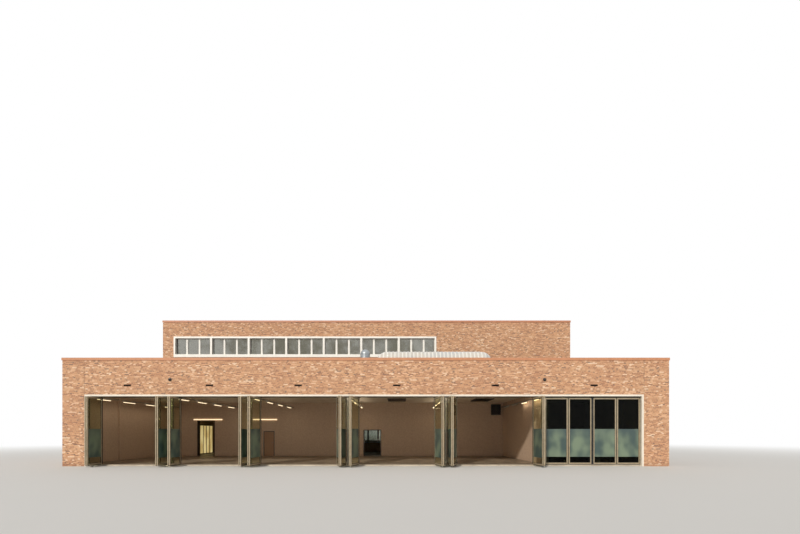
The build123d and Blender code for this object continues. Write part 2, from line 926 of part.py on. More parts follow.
def main():
    """Builds and writes every node."""
    os.makedirs("parts", exist_ok=True)
    bays = range(len(bay_widths))
    pier_back = front_face + wall_thickness
    left_pier = block(left_face, opening_left, front_face, pier_back, 0, opening_height)
    right_pier = block(opening_right, right_face, front_face, pier_back, 0, opening_height)
    save(together([left_pier, right_pier]), "front_piers")
    save(front_wall_over_doors(), "front_wall_over_doors")
    save(hall_side_wall(-1), "hall_side_wall_left")
    save(hall_side_wall(1), "hall_side_wall_right")
    save(hall_back_wall(), "hall_back_wall")
    save(hall_plate(0, slab_height), "hall_floor")
    save(hall_roof(), "hall_roof")
    save(hall_ceiling(), "hall_ceiling")
    save(hall_coping(), "hall_coping")
    save(wing_front_wall(), "wing_front_wall")
    save(wing_side_wall(-1), "wing_side_wall_left")
    save(wing_side_wall(1), "wing_side_wall_right")
    save(wing_rear_wall(), "wing_rear_wall")
    save(wing_slab(slab_height, slab_height), "wing_ground_floor")
    upper_floors = [wing_slab(level, floor_thickness) for level in (first_floor_level, second_floor_level)]
    save(together(upper_floors), "wing_upper_floors")
    save(wing_slab(wing_roof_top, wing_roof_thickness), "wing_roof")
    save(wing_coping(), "wing_coping")
    front_left = left_face + front_window_offset
    save(strip_window_frame(front_left, second_floor_level, -1), "front_window_frame")
    save(strip_window_glass(front_left, second_floor_level, -1), "front_window_glass")
    rear = [(rear_window_left(), level, 1) for level in storey_levels()]
    save(together([strip_window_frame(*window) for window in rear]), "rear_window_frames")
    save(together([strip_window_glass(*window) for window in rear]), "rear_window_glass")
    save(opening_trim(), "opening_trim")
    save(door_posts(), "door_posts")
    save(head_track(), "head_track")
    save(thresholds(), "door_thresholds")
    for bay in bays:
        save(bay_leaf_frames(bay), f"bay_{bay + 1}_leaf_frames")
    save(all_clear_glass(bays), "leaf_clear_glass")
    save(all_frosted_glass(bays), "leaf_frosted_glass")
    save(edge_seals(bays), "leaf_edge_seals")
    save(bottom_brushes(bays), "leaf_bottom_brushes")
    save(hinges(bays), "leaf_hinges")
    save(guide_arms(bays), "leaf_guide_arms")
    save(vent_louvres(), "vent_louvres")
    save(front_lamps(), "front_lamps")
    save(rooflight_curb(), "rooflight_curb")
    save(rooflight_vault(), "rooflight_vault")
    save(roof_cowl(), "roof_cowl")
    save(light_rails(), "light_rails")
    save(hall_lights(), "hall_lights")
    save(doorway_lamps(), "doorway_lamps")
    save(corridor_glass(), "corridor_glass")
    save(inner_door_frames(), "inner_door_frames")
    save(inner_door(), "inner_door")
    save(wall_display(), "wall_display")


main()
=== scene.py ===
import math

import bmesh
import bpy
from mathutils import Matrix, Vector


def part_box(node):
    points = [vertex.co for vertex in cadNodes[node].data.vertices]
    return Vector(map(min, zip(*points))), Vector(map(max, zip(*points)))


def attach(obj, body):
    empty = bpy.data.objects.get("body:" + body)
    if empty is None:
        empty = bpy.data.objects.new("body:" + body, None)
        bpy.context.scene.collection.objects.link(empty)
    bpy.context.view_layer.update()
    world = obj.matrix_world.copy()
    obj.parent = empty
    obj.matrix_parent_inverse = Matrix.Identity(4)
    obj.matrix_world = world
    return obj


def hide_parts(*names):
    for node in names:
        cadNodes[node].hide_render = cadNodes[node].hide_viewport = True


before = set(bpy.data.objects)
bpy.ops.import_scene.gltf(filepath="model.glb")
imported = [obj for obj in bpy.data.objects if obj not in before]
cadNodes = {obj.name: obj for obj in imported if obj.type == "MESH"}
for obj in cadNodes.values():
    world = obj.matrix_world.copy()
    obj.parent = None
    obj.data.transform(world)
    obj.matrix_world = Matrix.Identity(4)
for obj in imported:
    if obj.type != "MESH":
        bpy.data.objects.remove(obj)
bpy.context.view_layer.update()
print("frame loaded:", len(cadNodes), "nodes")


# Small helpers for colours and shader nodes

def tone(red, green, blue):
    # screen values from 0 to 255 become the linear colour that a socket wants
    def channel(value):
        share = value / 255
        return share / 12.92 if share <= 0.04045 else ((share + 0.055) / 1.055) ** 2.4
    return (channel(red), channel(green), channel(blue), 1.0)


def feed(socket, value):
    if isinstance(value, bpy.types.NodeSocket):
        socket.id_data.links.new(value, socket)
    else:
        socket.default_value = value


def fill(node, inputs):
    for name, value in inputs.items():
        feed(node.inputs[name], value)


def addNode(kind, inputs, **settings):
    # the node joins the tree that its first linked input comes from
    linked = [value for value in inputs.values() if isinstance(value, bpy.types.NodeSocket)]
    made = linked[0].id_data.nodes.new(kind)
    for name, value in settings.items():
        setattr(made, name, value)
    fill(made, inputs)
    return made


def calc(operation, *values):
    return addNode("ShaderNodeMath", dict(enumerate(values)), operation=operation).outputs[0]


def times(first, second):
    return calc("MULTIPLY", first, second)


def minus(first, second):
    return calc("SUBTRACT", first, second)


def scaled(value, factor, offset):
    return calc("MULTIPLY_ADD", value, factor, offset)


def toEdge(share):
    # how far a share from 0 to 1 is from the nearer end
    return calc("MINIMUM", share, minus(1.0, share))


def axes(vector):
    return addNode("ShaderNodeSeparateXYZ", {"Vector": vector}).outputs


def joined(x, y, z):
    return addNode("ShaderNodeCombineXYZ", {"X": x, "Y": y, "Z": z}).outputs[0]


def stretched(vector, x, y, z):
    return addNode("ShaderNodeVectorMath", {0: vector, 1: (x, y, z)}, operation="MULTIPLY").outputs[0]


def fade(value, low, high, toLow=0.0, toHigh=1.0):
    inputs = {"Value": value, "From Min": low, "From Max": high, "To Min": toLow, "To Max": toHigh}
    return addNode("ShaderNodeMapRange", inputs, interpolation_type="SMOOTHSTEP").outputs[0]


def cloud(vector, scale, detail=3.0, roughness=0.55):
    inputs = {"Vector": vector, "Scale": scale, "Detail": detail, "Roughness": roughness}
    return addNode("ShaderNodeTexNoise", inputs).outputs[0]


def blend(factor, first, second):
    return addNode("ShaderNodeMix", {0: factor, 6: first, 7: second}, data_type="RGBA").outputs[2]


def toneRamp(value, stops):
    ramp = addNode("ShaderNodeValToRGB", {"Fac": value})
    elements = ramp.color_ramp.elements
    for index, (position, colour) in enumerate(stops):
        stop = elements[index] if index < 2 else elements.new(position)
        stop.position = position
        stop.color = colour
    return ramp.outputs[0]


def makeGroup(name, vectors, values, outputs):
    group = bpy.data.node_groups.new(name, "ShaderNodeTree")
    sockets = [(title, "INPUT", "Vector") for title in vectors]
    sockets += [(title, "INPUT", "Float") for title in values]
    sockets += [(title, "OUTPUT", "Float") for title in outputs]
    for title, way, kind in sockets:
        group.interface.new_socket(name=title, in_out=way, socket_type="NodeSocket" + kind)
    given = group.nodes.new("NodeGroupInput").outputs
    result = group.nodes.new("NodeGroupOutput").inputs
    return group, given, result


def useGroup(group, inputs):
    return addNode("ShaderNodeGroup", inputs, node_tree=group).outputs


# Shader groups that several finishes share

def makeInsideBox():
    # 1 inside a box given by its middle and half sizes
    group, given, result = makeGroup("insideBox", ("Position", "Middle", "Half"), (), ("Inside",))
    ends = {0: given["Position"], 1: given["Middle"]}
    away = addNode("ShaderNodeVectorMath", ends, operation="SUBTRACT").outputs[0]
    away = addNode("ShaderNodeVectorMath", {0: away}, operation="ABSOLUTE").outputs[0]
    x, y, z = (calc("LESS_THAN", far, half) for far, half in zip(axes(away), axes(given["Half"])))
    feed(result["Inside"], times(times(x, y), z))
    return group


def makeBrickBond():
    # a wild running bond: some stretchers are split into two headers
    look = {"arris": 0.003, "proud": 0.004, "prouder": 0.0015}
    group, given, result = makeGroup(
        "brickBond", ("Position", "Facing"), ("Length", "Course", "Joint", "Headers"),
        ("Brick", "Tint", "Burn", "Height"),
    )
    x, y, z = axes(given["Position"])
    facingX, _, facingZ = axes(given["Facing"])
    turned = calc("GREATER_THAN", calc("ABSOLUTE", facingX), 0.5)
    flat = calc("GREATER_THAN", calc("ABSOLUTE", facingZ), 0.5)
    along = scaled(turned, minus(y, x), x)
    up = scaled(flat, minus(y, z), z)
    level = calc("DIVIDE", up, given["Course"])
    row = calc("FLOOR", level)
    everySecond = calc("FLOORED_MODULO", row, 2.0)
    everyFourth = calc("FLOORED_MODULO", calc("FLOOR", times(row, 0.5)), 2.0)
    shift = scaled(everySecond, 0.5, times(everyFourth, 0.25))
    place = calc("ADD", calc("DIVIDE", along, given["Length"]), shift)
    column = calc("FLOOR", place)
    pick = addNode("ShaderNodeTexWhiteNoise", {"Vector": joined(column, row, turned)})
    split = calc("LESS_THAN", pick.outputs["Value"], given["Headers"])
    parts = calc("ADD", split, 1.0)
    inParts = times(minus(place, column), parts)
    part = calc("FLOOR", inParts)
    sideGap = times(toEdge(minus(inParts, part)), calc("DIVIDE", given["Length"], parts))
    bedGap = times(toEdge(minus(level, row)), given["Course"])
    brick = fade(minus(calc("MINIMUM", sideGap, bedGap), times(given["Joint"], 0.5)), 0.0, look["arris"])
    # the 5 keeps a brick's own chance apart from the one that splits it
    own = joined(scaled(part, 0.5, column), row, calc("ADD", turned, 5.0))
    chance = addNode("ShaderNodeTexWhiteNoise", {"Vector": own})
    _, ownProud, ownBurn = axes(chance.outputs["Color"])
    feed(result["Brick"], brick)
    feed(result["Tint"], chance.outputs["Value"])
    feed(result["Burn"], ownBurn)
    feed(result["Height"], times(brick, scaled(ownProud, look["prouder"], look["proud"])))
    return group


def makeWeather():
    # streaks that run down and a darker foot where rain splashes
    group, given, result = makeGroup(
        "weather", ("Position",), ("Streaks", "Foot", "Foot Height"), ("Dirt", "Patches")
    )
    runs = cloud(stretched(given["Position"], 3.2, 3.2, 0.28), 1.0, 5.0, 0.6)
    streaks = times(fade(runs, 0.48, 0.78), given["Streaks"])
    ragged = scaled(cloud(given["Position"], 2.4), 0.5, 0.75)
    height = axes(given["Position"])[2]
    low = fade(height, 0.0, times(given["Foot Height"], ragged), 1.0, 0.0)
    feed(result["Dirt"], calc("MAXIMUM", streaks, times(low, given["Foot"])))
    feed(result["Patches"], cloud(given["Position"], 0.55, 3.0, 0.6))
    return group


def makeFineGrain():
    # two sizes of noise as one small relief
    group, given, result = makeGroup("fineGrain", ("Position",), ("Scale", "Depth"), ("Value", "Height"))
    coarse = cloud(given["Position"], given["Scale"], 4.0, 0.6)
    fine = cloud(given["Position"], times(given["Scale"], 4.3), 2.0, 0.6)
    value = scaled(fine, 0.4, times(coarse, 0.6))
    feed(result["Value"], value)
    feed(result["Height"], times(value, given["Depth"]))
    return group


def makeSeams():
    # thin lines at an even pitch along one coordinate
    group, given, result = makeGroup("seams", (), ("Along", "Pitch", "Width"), ("Line",))
    place = calc("DIVIDE", given["Along"], given["Pitch"])
    distance = times(toEdge(minus(place, calc("FLOOR", place))), given["Pitch"])
    feed(result["Line"], fade(distance, 0.0, given["Width"], 1.0, 0.0))
    return group


insideBox = makeInsideBox()
brickBond = makeBrickBond()
weather = makeWeather()
fineGrain = makeFineGrain()
seams = makeSeams()
print("shader groups built")


def weatherAt(place, streaks, foot, footHeight):
    inputs = {"Position": place, "Streaks": streaks, "Foot": foot, "Foot Height": footHeight}
    return useGroup(weather, inputs)


def grainAt(place, scale, depth):
    return useGroup(fineGrain, {"Position": place, "Scale": scale, "Depth": depth})


def seamLine(along, pitch, width):
    return useGroup(seams, {"Along": along, "Pitch": pitch, "Width": width})["Line"]


# Materials

def startMaterial(name):
    material = bpy.data.materials.new(name)
    material.use_nodes = True
    nodes = material.node_tree.nodes
    shader = next(entry for entry in nodes if entry.type == "BSDF_PRINCIPLED")
    coordinates = nodes.new("ShaderNodeTexCoord").outputs
    return material, shader, coordinates["Object"], coordinates["Normal"]


def relief(shader, height, strength):
    bump = addNode("ShaderNodeBump", {"Height": height, "Strength": strength, "Distance": 1.0})
    feed(shader.inputs["Normal"], bump.outputs[0])


def insideOf(place, low, high):
    middle = [(a + b) / 2 for a, b in zip(low, high)]
    half = [(b - a) / 2 for a, b in zip(low, high)]
    return useGroup(insideBox, {"Position": place, "Middle": middle, "Half": half})["Inside"]


def makeBrickwork():
    look = {
        "length": 0.25, "course": 0.0625, "joint": 0.01, "headers": 0.62,
        "bricks": [
            (0.0, tone(156, 104, 78)), (0.15, tone(184, 126, 92)), (0.42, tone(203, 145, 106)),
            (0.7, tone(217, 161, 120)), (0.9, tone(234, 184, 145)), (1.0, tone(250, 221, 192)),
        ],
        "burnt": tone(132, 96, 82), "mortar": tone(210, 182, 150), "dirt": tone(126, 94, 74),
        "burntShare": 0.97, "plaster": tone(217, 191, 166), "plasterShade": tone(201, 174, 149),
        "plasterSkin": 0.004, "redPatch": tone(176, 118, 92),
    }
    material, shader, place, facing = startMaterial("brickwork")
    bond = useGroup(brickBond, {
        "Position": place, "Facing": facing, "Length": look["length"], "Course": look["course"],
        "Joint": look["joint"], "Headers": look["headers"],
    })
    grain = grainAt(place, 55.0, 0.0016)
    dirt = weatherAt(place, 0.14, 0.35, 0.4)
    colour = toneRamp(bond["Tint"], look["bricks"])
    colour = blend(calc("GREATER_THAN", bond["Burn"], look["burntShare"]), colour, look["burnt"])
    colour = blend(fade(grain["Value"], 0.42, 0.7, 0.0, 0.26), colour, look["dirt"])
    colour = blend(bond["Brick"], look["mortar"], colour)
    colour = blend(fade(dirt["Patches"], 0.35, 0.7, 0.0, 0.14), colour, look["redPatch"])
    colour = blend(dirt["Dirt"], colour, look["dirt"])
    # the faces toward the rooms are plastered
    skin = look["plasterSkin"]
    inside = []
    for floorNode, roofNode in (("hall_floor", "hall_roof"), ("wing_ground_floor", "wing_roof")):
        low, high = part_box(floorNode)
        low, high = (low.x - skin, low.y - skin, 0.0), (high.x + skin, high.y + skin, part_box(roofNode)[0].z)
        inside.append(insideOf(place, low, high))
    plastered = calc("MAXIMUM", *inside)
    trowel = grainAt(place, 9.0, 0.0012)
    plaster = blend(fade(trowel["Value"], 0.35, 0.65), look["plaster"], look["plasterShade"])
    plaster = blend(times(dirt["Dirt"], 0.5), plaster, look["dirt"])
    outer = calc("ADD", bond["Height"], times(grain["Height"], bond["Brick"]))
    mixed = addNode("ShaderNodeMix", {0: plastered, 2: outer, 3: trowel["Height"]})
    fill(shader, {
        "Base Color": blend(plastered, colour, plaster),
        "Roughness": scaled(grain["Value"], 0.3, 0.68),
    })
    relief(shader, mixed.outputs[0], 0.5)
    return material


def jointGrid(place, pitchX, pitchY):
    # fine joints in both directions
    x, y, _ = axes(place)
    return calc("MAXIMUM", seamLine(x, pitchX, 0.006), seamLine(y, pitchY, 0.006))


def makeConcrete(name, pale, dark, jointPitch, gloss):
    look = {"joint": tone(62, 56, 50), "jointDeep": 0.003}
    material, shader, place, _ = startMaterial(name)
    patches = cloud(place, 0.9, 5.0, 0.62)
    specks = grainAt(place, 24.0, 0.0009)
    colour = blend(fade(patches, 0.32, 0.7), pale, dark)
    colour = blend(fade(specks["Value"], 0.5, 0.75, 0.0, 0.35), colour, dark)
    joint = jointGrid(place, jointPitch, jointPitch)
    fill(shader, {
        "Base Color": blend(times(joint, 0.7), colour, look["joint"]),
        "Roughness": scaled(patches, 0.25, gloss),
    })
    relief(shader, minus(specks["Height"], times(joint, look["jointDeep"])), 0.5)
    return material


def makeRoofCovering():
    # round gravel on top with painted shade in the gaps between the pebbles, bare concrete below
    look = {
        "pebble": 0.035, "pale": tone(206, 200, 188), "dark": tone(136, 130, 122), "paintedGapShade": tone(92, 88, 82),
        "dusty": tone(196, 188, 172), "mossy": tone(104, 100, 82), "boardWide": 1.25,
        "under": tone(170, 160, 146), "boardLine": tone(120, 108, 94), "underStain": tone(150, 138, 122),
    }
    material, shader, place, facing = startMaterial("roofCovering")
    stones = addNode("ShaderNodeTexVoronoi", {"Vector": place, "Scale": 1 / look["pebble"]})
    shade = axes(stones.outputs["Color"])[0]
    gravel = blend(shade, look["dark"], look["pale"])
    # painted shade: darker toward the edges of each pebble, in the gaps
    gravel = blend(fade(stones.outputs["Distance"], 0.25, 0.6), gravel, look["paintedGapShade"])
    dusty = fade(cloud(place, 0.35, 4.0), 0.42, 0.66, 0.0, 0.6)
    mossy = fade(cloud(place, 0.9, 5.0, 0.65), 0.55, 0.75, 0.0, 0.45)
    gravel = blend(mossy, blend(dusty, gravel, look["dusty"]), look["mossy"])
    boards = seamLine(axes(place)[0], look["boardWide"], 0.005)
    under = blend(times(boards, 0.4), look["under"], look["boardLine"])
    under = blend(fade(cloud(place, 1.4), 0.4, 0.75, 0.0, 0.25), under, look["underStain"])
    upward = calc("GREATER_THAN", axes(facing)[2], 0.5)
    roundness = times(minus(0.6, stones.outputs["Distance"]), 0.018)
    fill(shader, {
        "Base Color": blend(upward, under, gravel),
        "Roughness": scaled(shade, 0.2, 0.72),
    })
    relief(shader, times(roundness, upward), 0.8)
    return material


def makeCeilingBoard():
    # painted boards
    look = {
        "paint": tone(242, 230, 210), "shade": tone(226, 212, 188), "line": tone(168, 150, 126),
        "length": 2.5, "width": 1.25, "jointDeep": 0.002,
    }
    material, shader, place, _ = startMaterial("ceilingBoard")
    grain = grainAt(place, 14.0, 0.0008)
    line = jointGrid(place, look["width"], look["length"])
    colour = blend(fade(cloud(place, 1.1), 0.35, 0.7), look["paint"], look["shade"])
    fill(shader, {
        "Base Color": blend(times(line, 0.5), colour, look["line"]),
        "Roughness": scaled(grain["Value"], 0.2, 0.6),
    })
    relief(shader, minus(grain["Height"], times(line, look["jointDeep"])), 0.5)
    return material


def makeCoated(name, colour, worn, roughness, metallic, pitch, axis, dirtShare, coat):
    # coated sheet or extrusion with faint mottling, run marks and optional joints
    look = {"dirt": tone(84, 74, 64), "joint": tone(72, 52, 40), "jointWide": 0.006, "jointDeep": 0.002}
    material, shader, place, _ = startMaterial(name)
    mottle = cloud(place, 5.0, 4.0, 0.6)
    brushed = grainAt(stretched(place, 1, 1, 0.12), 80.0, 0.0004)
    dirt = weatherAt(place, dirtShare, dirtShare, 0.3)
    tint = blend(fade(mottle, 0.35, 0.7, 0.0, 0.5), colour, worn)
    tint = blend(fade(brushed["Value"], 0.45, 0.75, 0.0, 0.25), tint, worn)
    tint = blend(times(dirt["Dirt"], 0.6), tint, look["dirt"])
    height = brushed["Height"]
    if pitch:
        line = seamLine(axes(place)[axis], pitch, look["jointWide"])
        tint = blend(times(line, 0.6), tint, look["joint"])
        height = minus(height, times(line, look["jointDeep"]))
    fill(shader, {
        "Base Color": tint,
        "Roughness": scaled(mottle, 0.22, roughness - 0.1),
        "Metallic": metallic,
        "Coat Weight": coat,
    })
    relief(shader, height, 0.4)
    return material


def makeWindowMetal():
    # white enamel on the faces; painted shade in dark brown on the deep sides and undersides in front of the
    # mullions, where shade falls
    look = {
        # the side colour is painted shade for the deep sides and undersides
        "face": tone(254, 251, 243), "worn": tone(246, 241, 230), "side": tone(92, 74, 60),
        "run": tone(150, 138, 122), "deep": 0.157, "inset": 0.006,
    }
    material, shader, place, facing = startMaterial("windowEnamelAndPaintedShade")
    mottle = cloud(place, 4.0, 4.0, 0.6)
    runs = weatherAt(place, 0.08, 0.0, 0.3)
    face = blend(fade(mottle, 0.4, 0.7, 0.0, 0.5), look["face"], look["worn"])
    face = blend(runs["Dirt"], face, look["run"])
    sideways, _, upward = axes(facing)
    turned = calc("GREATER_THAN", calc("ABSOLUTE", sideways), 0.5)
    turned = calc("MAXIMUM", turned, calc("LESS_THAN", upward, -0.5))
    paintedShadeZones = []
    for nodeName, outward in (("front_window_frame", -1), ("rear_window_frames", 1)):
        low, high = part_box(nodeName)
        inset = Vector((1, 1, 1)) * look["inset"]
        low, high = low + inset, high - inset
        # from a little outside the frame back to the mullions
        if outward < 0:
            low.y, high.y = low.y - 2 * look["inset"], low.y + look["deep"]
        else:
            low.y, high.y = high.y - look["deep"], high.y + 2 * look["inset"]
        paintedShadeZones.append(insideOf(place, low, high))
    # painted shade: faces turned sideways or downward in the deep part of the frame take the dark side colour
    side = times(turned, calc("MAXIMUM", *paintedShadeZones))
    fill(shader, {
        "Base Color": blend(side, face, look["side"]),
        "Roughness": scaled(mottle, 0.2, 0.26),
        "Coat Weight": 0.2,
    })
    relief(shader, times(mottle, 0.0006), 0.4)
    return material


def makeLeafGlass():
    # sun glass: dark when looked at squarely; at glancing angles, as along the open leaves, a painted sheen
    # makes it lighter and clearer
    look = {
        "square": tone(104, 114, 98), "film": tone(84, 92, 78), "paintedSheen": tone(240, 244, 220),
        "squareTo": 0.14, "paintedSheenFrom": 0.42, "ior": 1.16, "specular": 0.3,
    }
    material, shader, place, _ = startMaterial("leafClearGlass")
    haze = cloud(stretched(place, 1.0, 1.0, 0.4), 1.6, 4.0, 0.6)
    tint = blend(fade(haze, 0.4, 0.75, 0.0, 0.5), look["square"], look["film"])
    angle = material.node_tree.nodes.new("ShaderNodeLayerWeight").outputs["Facing"]
    # painted sheen: the colour turns pale toward glancing angles
    tint = blend(fade(angle, look["squareTo"], look["paintedSheenFrom"]), tint, look["paintedSheen"])
    dust = grainAt(place, 6.0, 0.0003)
    waves = cloud(place, 1.1, 1.0, 0.4)
    fill(shader, {
        "Base Color": tint,
        "Roughness": scaled(dust["Value"], 0.03, 0.015),
        "Transmission Weight": 1.0,
        "IOR": look["ior"],
        "Specular IOR Level": look["specular"],
    })
    relief(shader, times(waves, 0.004), 0.5)
    return material


def makeWindowGlass():
    # double panes: the outer coating mirrors the sky in some patches and less in others
    look = {
        "tint": tone(150, 156, 140), "film": tone(112, 116, 100), "low": 0.1, "patch": 1.5,
        "coatIor": 2.4, "glassIor": 2.1, "warm": (1.0, 0.93, 0.72, 1.0),
    }
    material, shader, place, _ = startMaterial("windowGlass")
    haze = cloud(stretched(place, 1.0, 1.0, 0.6), 1.3, 3.0, 0.5)
    leaves = cloud(stretched(place, look["patch"], look["patch"], 1.3), 1.0, 5.0, 0.66)
    slow = cloud(stretched(place, 0.5, 0.5, 0.2), 1.0, 1.0, 0.4)
    amount = scaled(slow, 0.7, times(leaves, 0.6))
    fill(shader, {
        "Base Color": blend(haze, look["tint"], look["film"]),
        "Coat Weight": fade(amount, 0.52, 0.78, look["low"], 1.0),
        "Roughness": scaled(haze, 0.03, 0.015),
        "Coat IOR": look["coatIor"],
        "Coat Roughness": 0.03,
        "Transmission Weight": 1.0,
        "IOR": look["glassIor"],
        "Specular Tint": look["warm"],
    })
    relief(shader, times(slow, 0.003), 0.5)
    return material


def makeFrostedGlass():
    # etched film: soft green grey with a slow change over the pane
    look = {"deep": tone(72, 94, 90), "milky": tone(136, 154, 128), "edge": tone(66, 86, 86)}
    material, shader, place, _ = startMaterial("frostedGlass")
    soft = cloud(stretched(place, 1.5, 1.5, 1.1), 1.0, 1.5, 0.45)
    etched = grainAt(place, 260.0, 0.0003)
    colour = blend(fade(soft, 0.33, 0.7), look["deep"], look["milky"])
    colour = blend(fade(axes(place)[2], 1.5, 2.2, 0.0, 0.45), colour, look["edge"])
    fill(shader, {
        "Base Color": colour,
        "Roughness": scaled(etched["Value"], 0.2, 0.26),
        "Transmission Weight": 0.25,
        "Coat Weight": 0.4,
    })
    relief(shader, etched["Height"], 0.5)
    return material


def makeRooflightPlastic():
    # bright ribs, and greyer translucent strips between them
    look = {
        "rib": tone(255, 252, 244), "pale": tone(226, 218, 206), "cool": tone(206, 208, 208),
        "grime": tone(176, 166, 148), "ribPitch": 0.234, "ribHalf": 0.075,
    }
    material, shader, place, _ = startMaterial("rooflightPlastic")
    soft = cloud(place, 0.8, 3.0, 0.5)
    runs = cloud(stretched(place, 8.0, 1.0, 1.0), 2.0, 4.0, 0.6)
    low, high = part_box("rooflight_vault")
    fromRib = minus(axes(place)[0], (low.x + high.x + look["ribPitch"]) / 2)
    rib = seamLine(fromRib, look["ribPitch"], look["ribHalf"])
    colour = blend(fade(soft, 0.4, 0.7), look["pale"], look["cool"])
    colour = blend(rib, colour, look["rib"])
    colour = blend(fade(runs, 0.5, 0.8, 0.0, 0.2), colour, look["grime"])
    fill(shader, {
        "Base Color": colour,
        "Roughness": scaled(runs, 0.25, 0.22),
        "Transmission Weight": 0.12,
        "Coat Weight": 0.3,
    })
    relief(shader, times(runs, 0.001), 0.4)
    return material


def makeRubber(name, colour, ridges):
    look = {"dust": tone(92, 84, 74), "dustShare": 0.22}
    material, shader, place, _ = startMaterial(name)
    grain = grainAt(place, 120.0, 0.0006)
    line = seamLine(axes(place)[0], ridges, ridges * 0.4)
    dust = fade(cloud(place, 4.0), 0.45, 0.75, 0.0, look["dustShare"])
    fill(shader, {
        "Base Color": blend(dust, colour, look["dust"]),
        "Roughness": scaled(grain["Value"], 0.3, 0.55),
    })
    relief(shader, calc("ADD", grain["Height"], times(line, 0.0008)), 0.6)
    return material


def makeDoorWood():
    look = {"pale": tone(190, 148, 104), "dark": tone(140, 100, 66)}
    material, shader, place, _ = startMaterial("doorWood")
    long = stretched(place, 9.0, 9.0, 0.5)
    fibre = cloud(long, 4.0, 6.0, 0.65)
    wave = {"Vector": long, "Scale": 1.4, "Distortion": 6.0, "Detail": 3.0}
    rings = addNode("ShaderNodeTexWave", wave).outputs["Fac"]
    grain = scaled(rings, 0.5, times(fibre, 0.5))
    fill(shader, {
        "Base Color": blend(grain, look["dark"], look["pale"]),
        "Roughness": scaled(fibre, 0.25, 0.3),
    })
    relief(shader, times(grain, 0.0008), 0.5)
    return material


def makeGlow(name, colour, strength):
    # lamp cover with fine ribs across its length
    material, shader, place, _ = startMaterial(name)
    ribs = seamLine(axes(place)[1], 0.02, 0.006)
    tint = blend(times(ribs, 0.3), colour, tone(214, 186, 140))
    fill(shader, {
        "Base Color": tint,
        "Emission Color": tint,
        "Emission Strength": strength,
        "Roughness": scaled(cloud(place, 30.0), 0.2, 0.3),
    })
    return material


def makeLitGlass():
    # obscure glass with a lit room behind it
    look = {"bright": tone(236, 214, 150), "soft": tone(196, 168, 104), "strength": 0.75}
    material, shader, place, _ = startMaterial("litGlass")
    uneven = cloud(stretched(place, 1.0, 1.6, 0.7), 1.2, 2.0, 0.5)
    tint = blend(fade(uneven, 0.35, 0.7), look["bright"], look["soft"])
    fill(shader, {
        "Base Color": tint,
        "Emission Color": tint,
        "Emission Strength": look["strength"],
        "Roughness": scaled(uneven, 0.2, 0.2),
    })
    return material


brickwork = makeBrickwork()
# material, colour, worn colour, roughness, metallic, joint pitch, axis of the joints, dirt, coat
metals = {
    "hallCoping": ("hallCopingMetal", (207, 146, 108), (186, 126, 92), 0.36, 0.0, 3.0, 0, 0.15, 0.0),
    "wingCoping": ("wingCopingMetal", (202, 140, 106), (176, 114, 86), 0.4, 0.0, 3.0, 0, 0.15, 0.0),
    "trim": ("trimMetal", (247, 238, 222), (232, 221, 203), 0.34, 0.0, 0.0, 0, 0.12, 0.3),
    "leaf": ("leafMetal", (184, 168, 140), (148, 133, 106), 0.36, 0.35, 0.0, 0, 0.25, 0.0),
    "post": ("postMetal", (212, 199, 175), (180, 168, 144), 0.38, 0.1, 0.0, 0, 0.25, 0.0),
    "track": ("trackSteel", (28, 27, 26), (46, 43, 40), 0.5, 0.4, 2.0, 0, 0.1, 0.0),
    "hinge": ("hingeSteel", (150, 144, 134), (104, 96, 86), 0.32, 0.85, 0.0, 0, 0.25, 0.0),
    "vent": ("ventMetal", (44, 40, 38), (66, 58, 52), 0.55, 0.3, 0.0, 0, 0.25, 0.0),
    "frontLamp": ("lampHousing", (40, 38, 38), (72, 68, 64), 0.3, 0.3, 0.0, 0, 0.25, 0.5),
    "curb": ("curbMetal", (186, 186, 180), (150, 150, 144), 0.45, 0.5, 1.2, 0, 0.3, 0.0),
    "cowl": ("cowlMetal", (170, 176, 180), (128, 134, 138), 0.4, 0.6, 0.53, 2, 0.35, 0.0),
    "rail": ("railMetal", (176, 168, 156), (140, 132, 120), 0.42, 0.6, 0.0, 0, 0.25, 0.0),
    "lampCase": ("lampCase", (222, 214, 198), (196, 186, 168), 0.4, 0.0, 0.0, 0, 0.25, 0.0),
    "innerFrame": ("innerFrameMetal", (92, 78, 66), (66, 54, 46), 0.4, 0.3, 0.0, 0, 0.25, 0.0),
    "display": ("displayCase", (38, 36, 36), (60, 56, 54), 0.4, 0.2, 0.0, 0, 0.25, 0.0),
    "heater": ("ceilingPanelMetal", (66, 58, 50), (88, 78, 68), 0.5, 0.3, 0.0, 0, 0.1, 0.0),
}
finishes = {
    "floor": makeConcrete("hallFloor", tone(150, 134, 114), tone(112, 98, 82), 3.0, 0.34),
    "roomFloor": makeConcrete("roomFloor", tone(160, 150, 136), tone(120, 112, 100), 4.0, 0.4),
    "threshold": makeConcrete("thresholdStone", tone(206, 194, 174), tone(168, 156, 138), 1.5, 0.5),
    "roof": makeRoofCovering(),
    "window": makeWindowMetal(),
    "windowGlass": makeWindowGlass(),
    "leafGlass": makeLeafGlass(),
    "frosted": makeFrostedGlass(),
    "vault": makeRooflightPlastic(),
    "seal": makeRubber("sealRubber", tone(24, 24, 24), 0.02),
    "brush": makeRubber("brushHair", tone(38, 36, 34), 0.004),
    "wood": makeDoorWood(),
    "glow": makeGlow("lampGlow", tone(255, 232, 194), 1.7),
    "doorGlow": makeGlow("doorwayGlow", tone(255, 228, 186), 1.15),
    "ceiling": makeCeilingBoard(),
    "litGlass": makeLitGlass(),
    "sealant": makeRubber("jointSealant", tone(122, 92, 76), 0.05),
}
for finish, (name, colour, worn, *sizes) in metals.items():
    finishes[finish] = makeCoated(name, tone(*colour), tone(*worn), *sizes)
print("materials built:", len(finishes) + 1)
wallNodes = (
    "front_piers", "front_wall_over_doors", "hall_side_wall_left", "hall_side_wall_right",
    "hall_back_wall", "wing_front_wall", "wing_side_wall_left", "wing_side_wall_right", "wing_rear_wall",
)
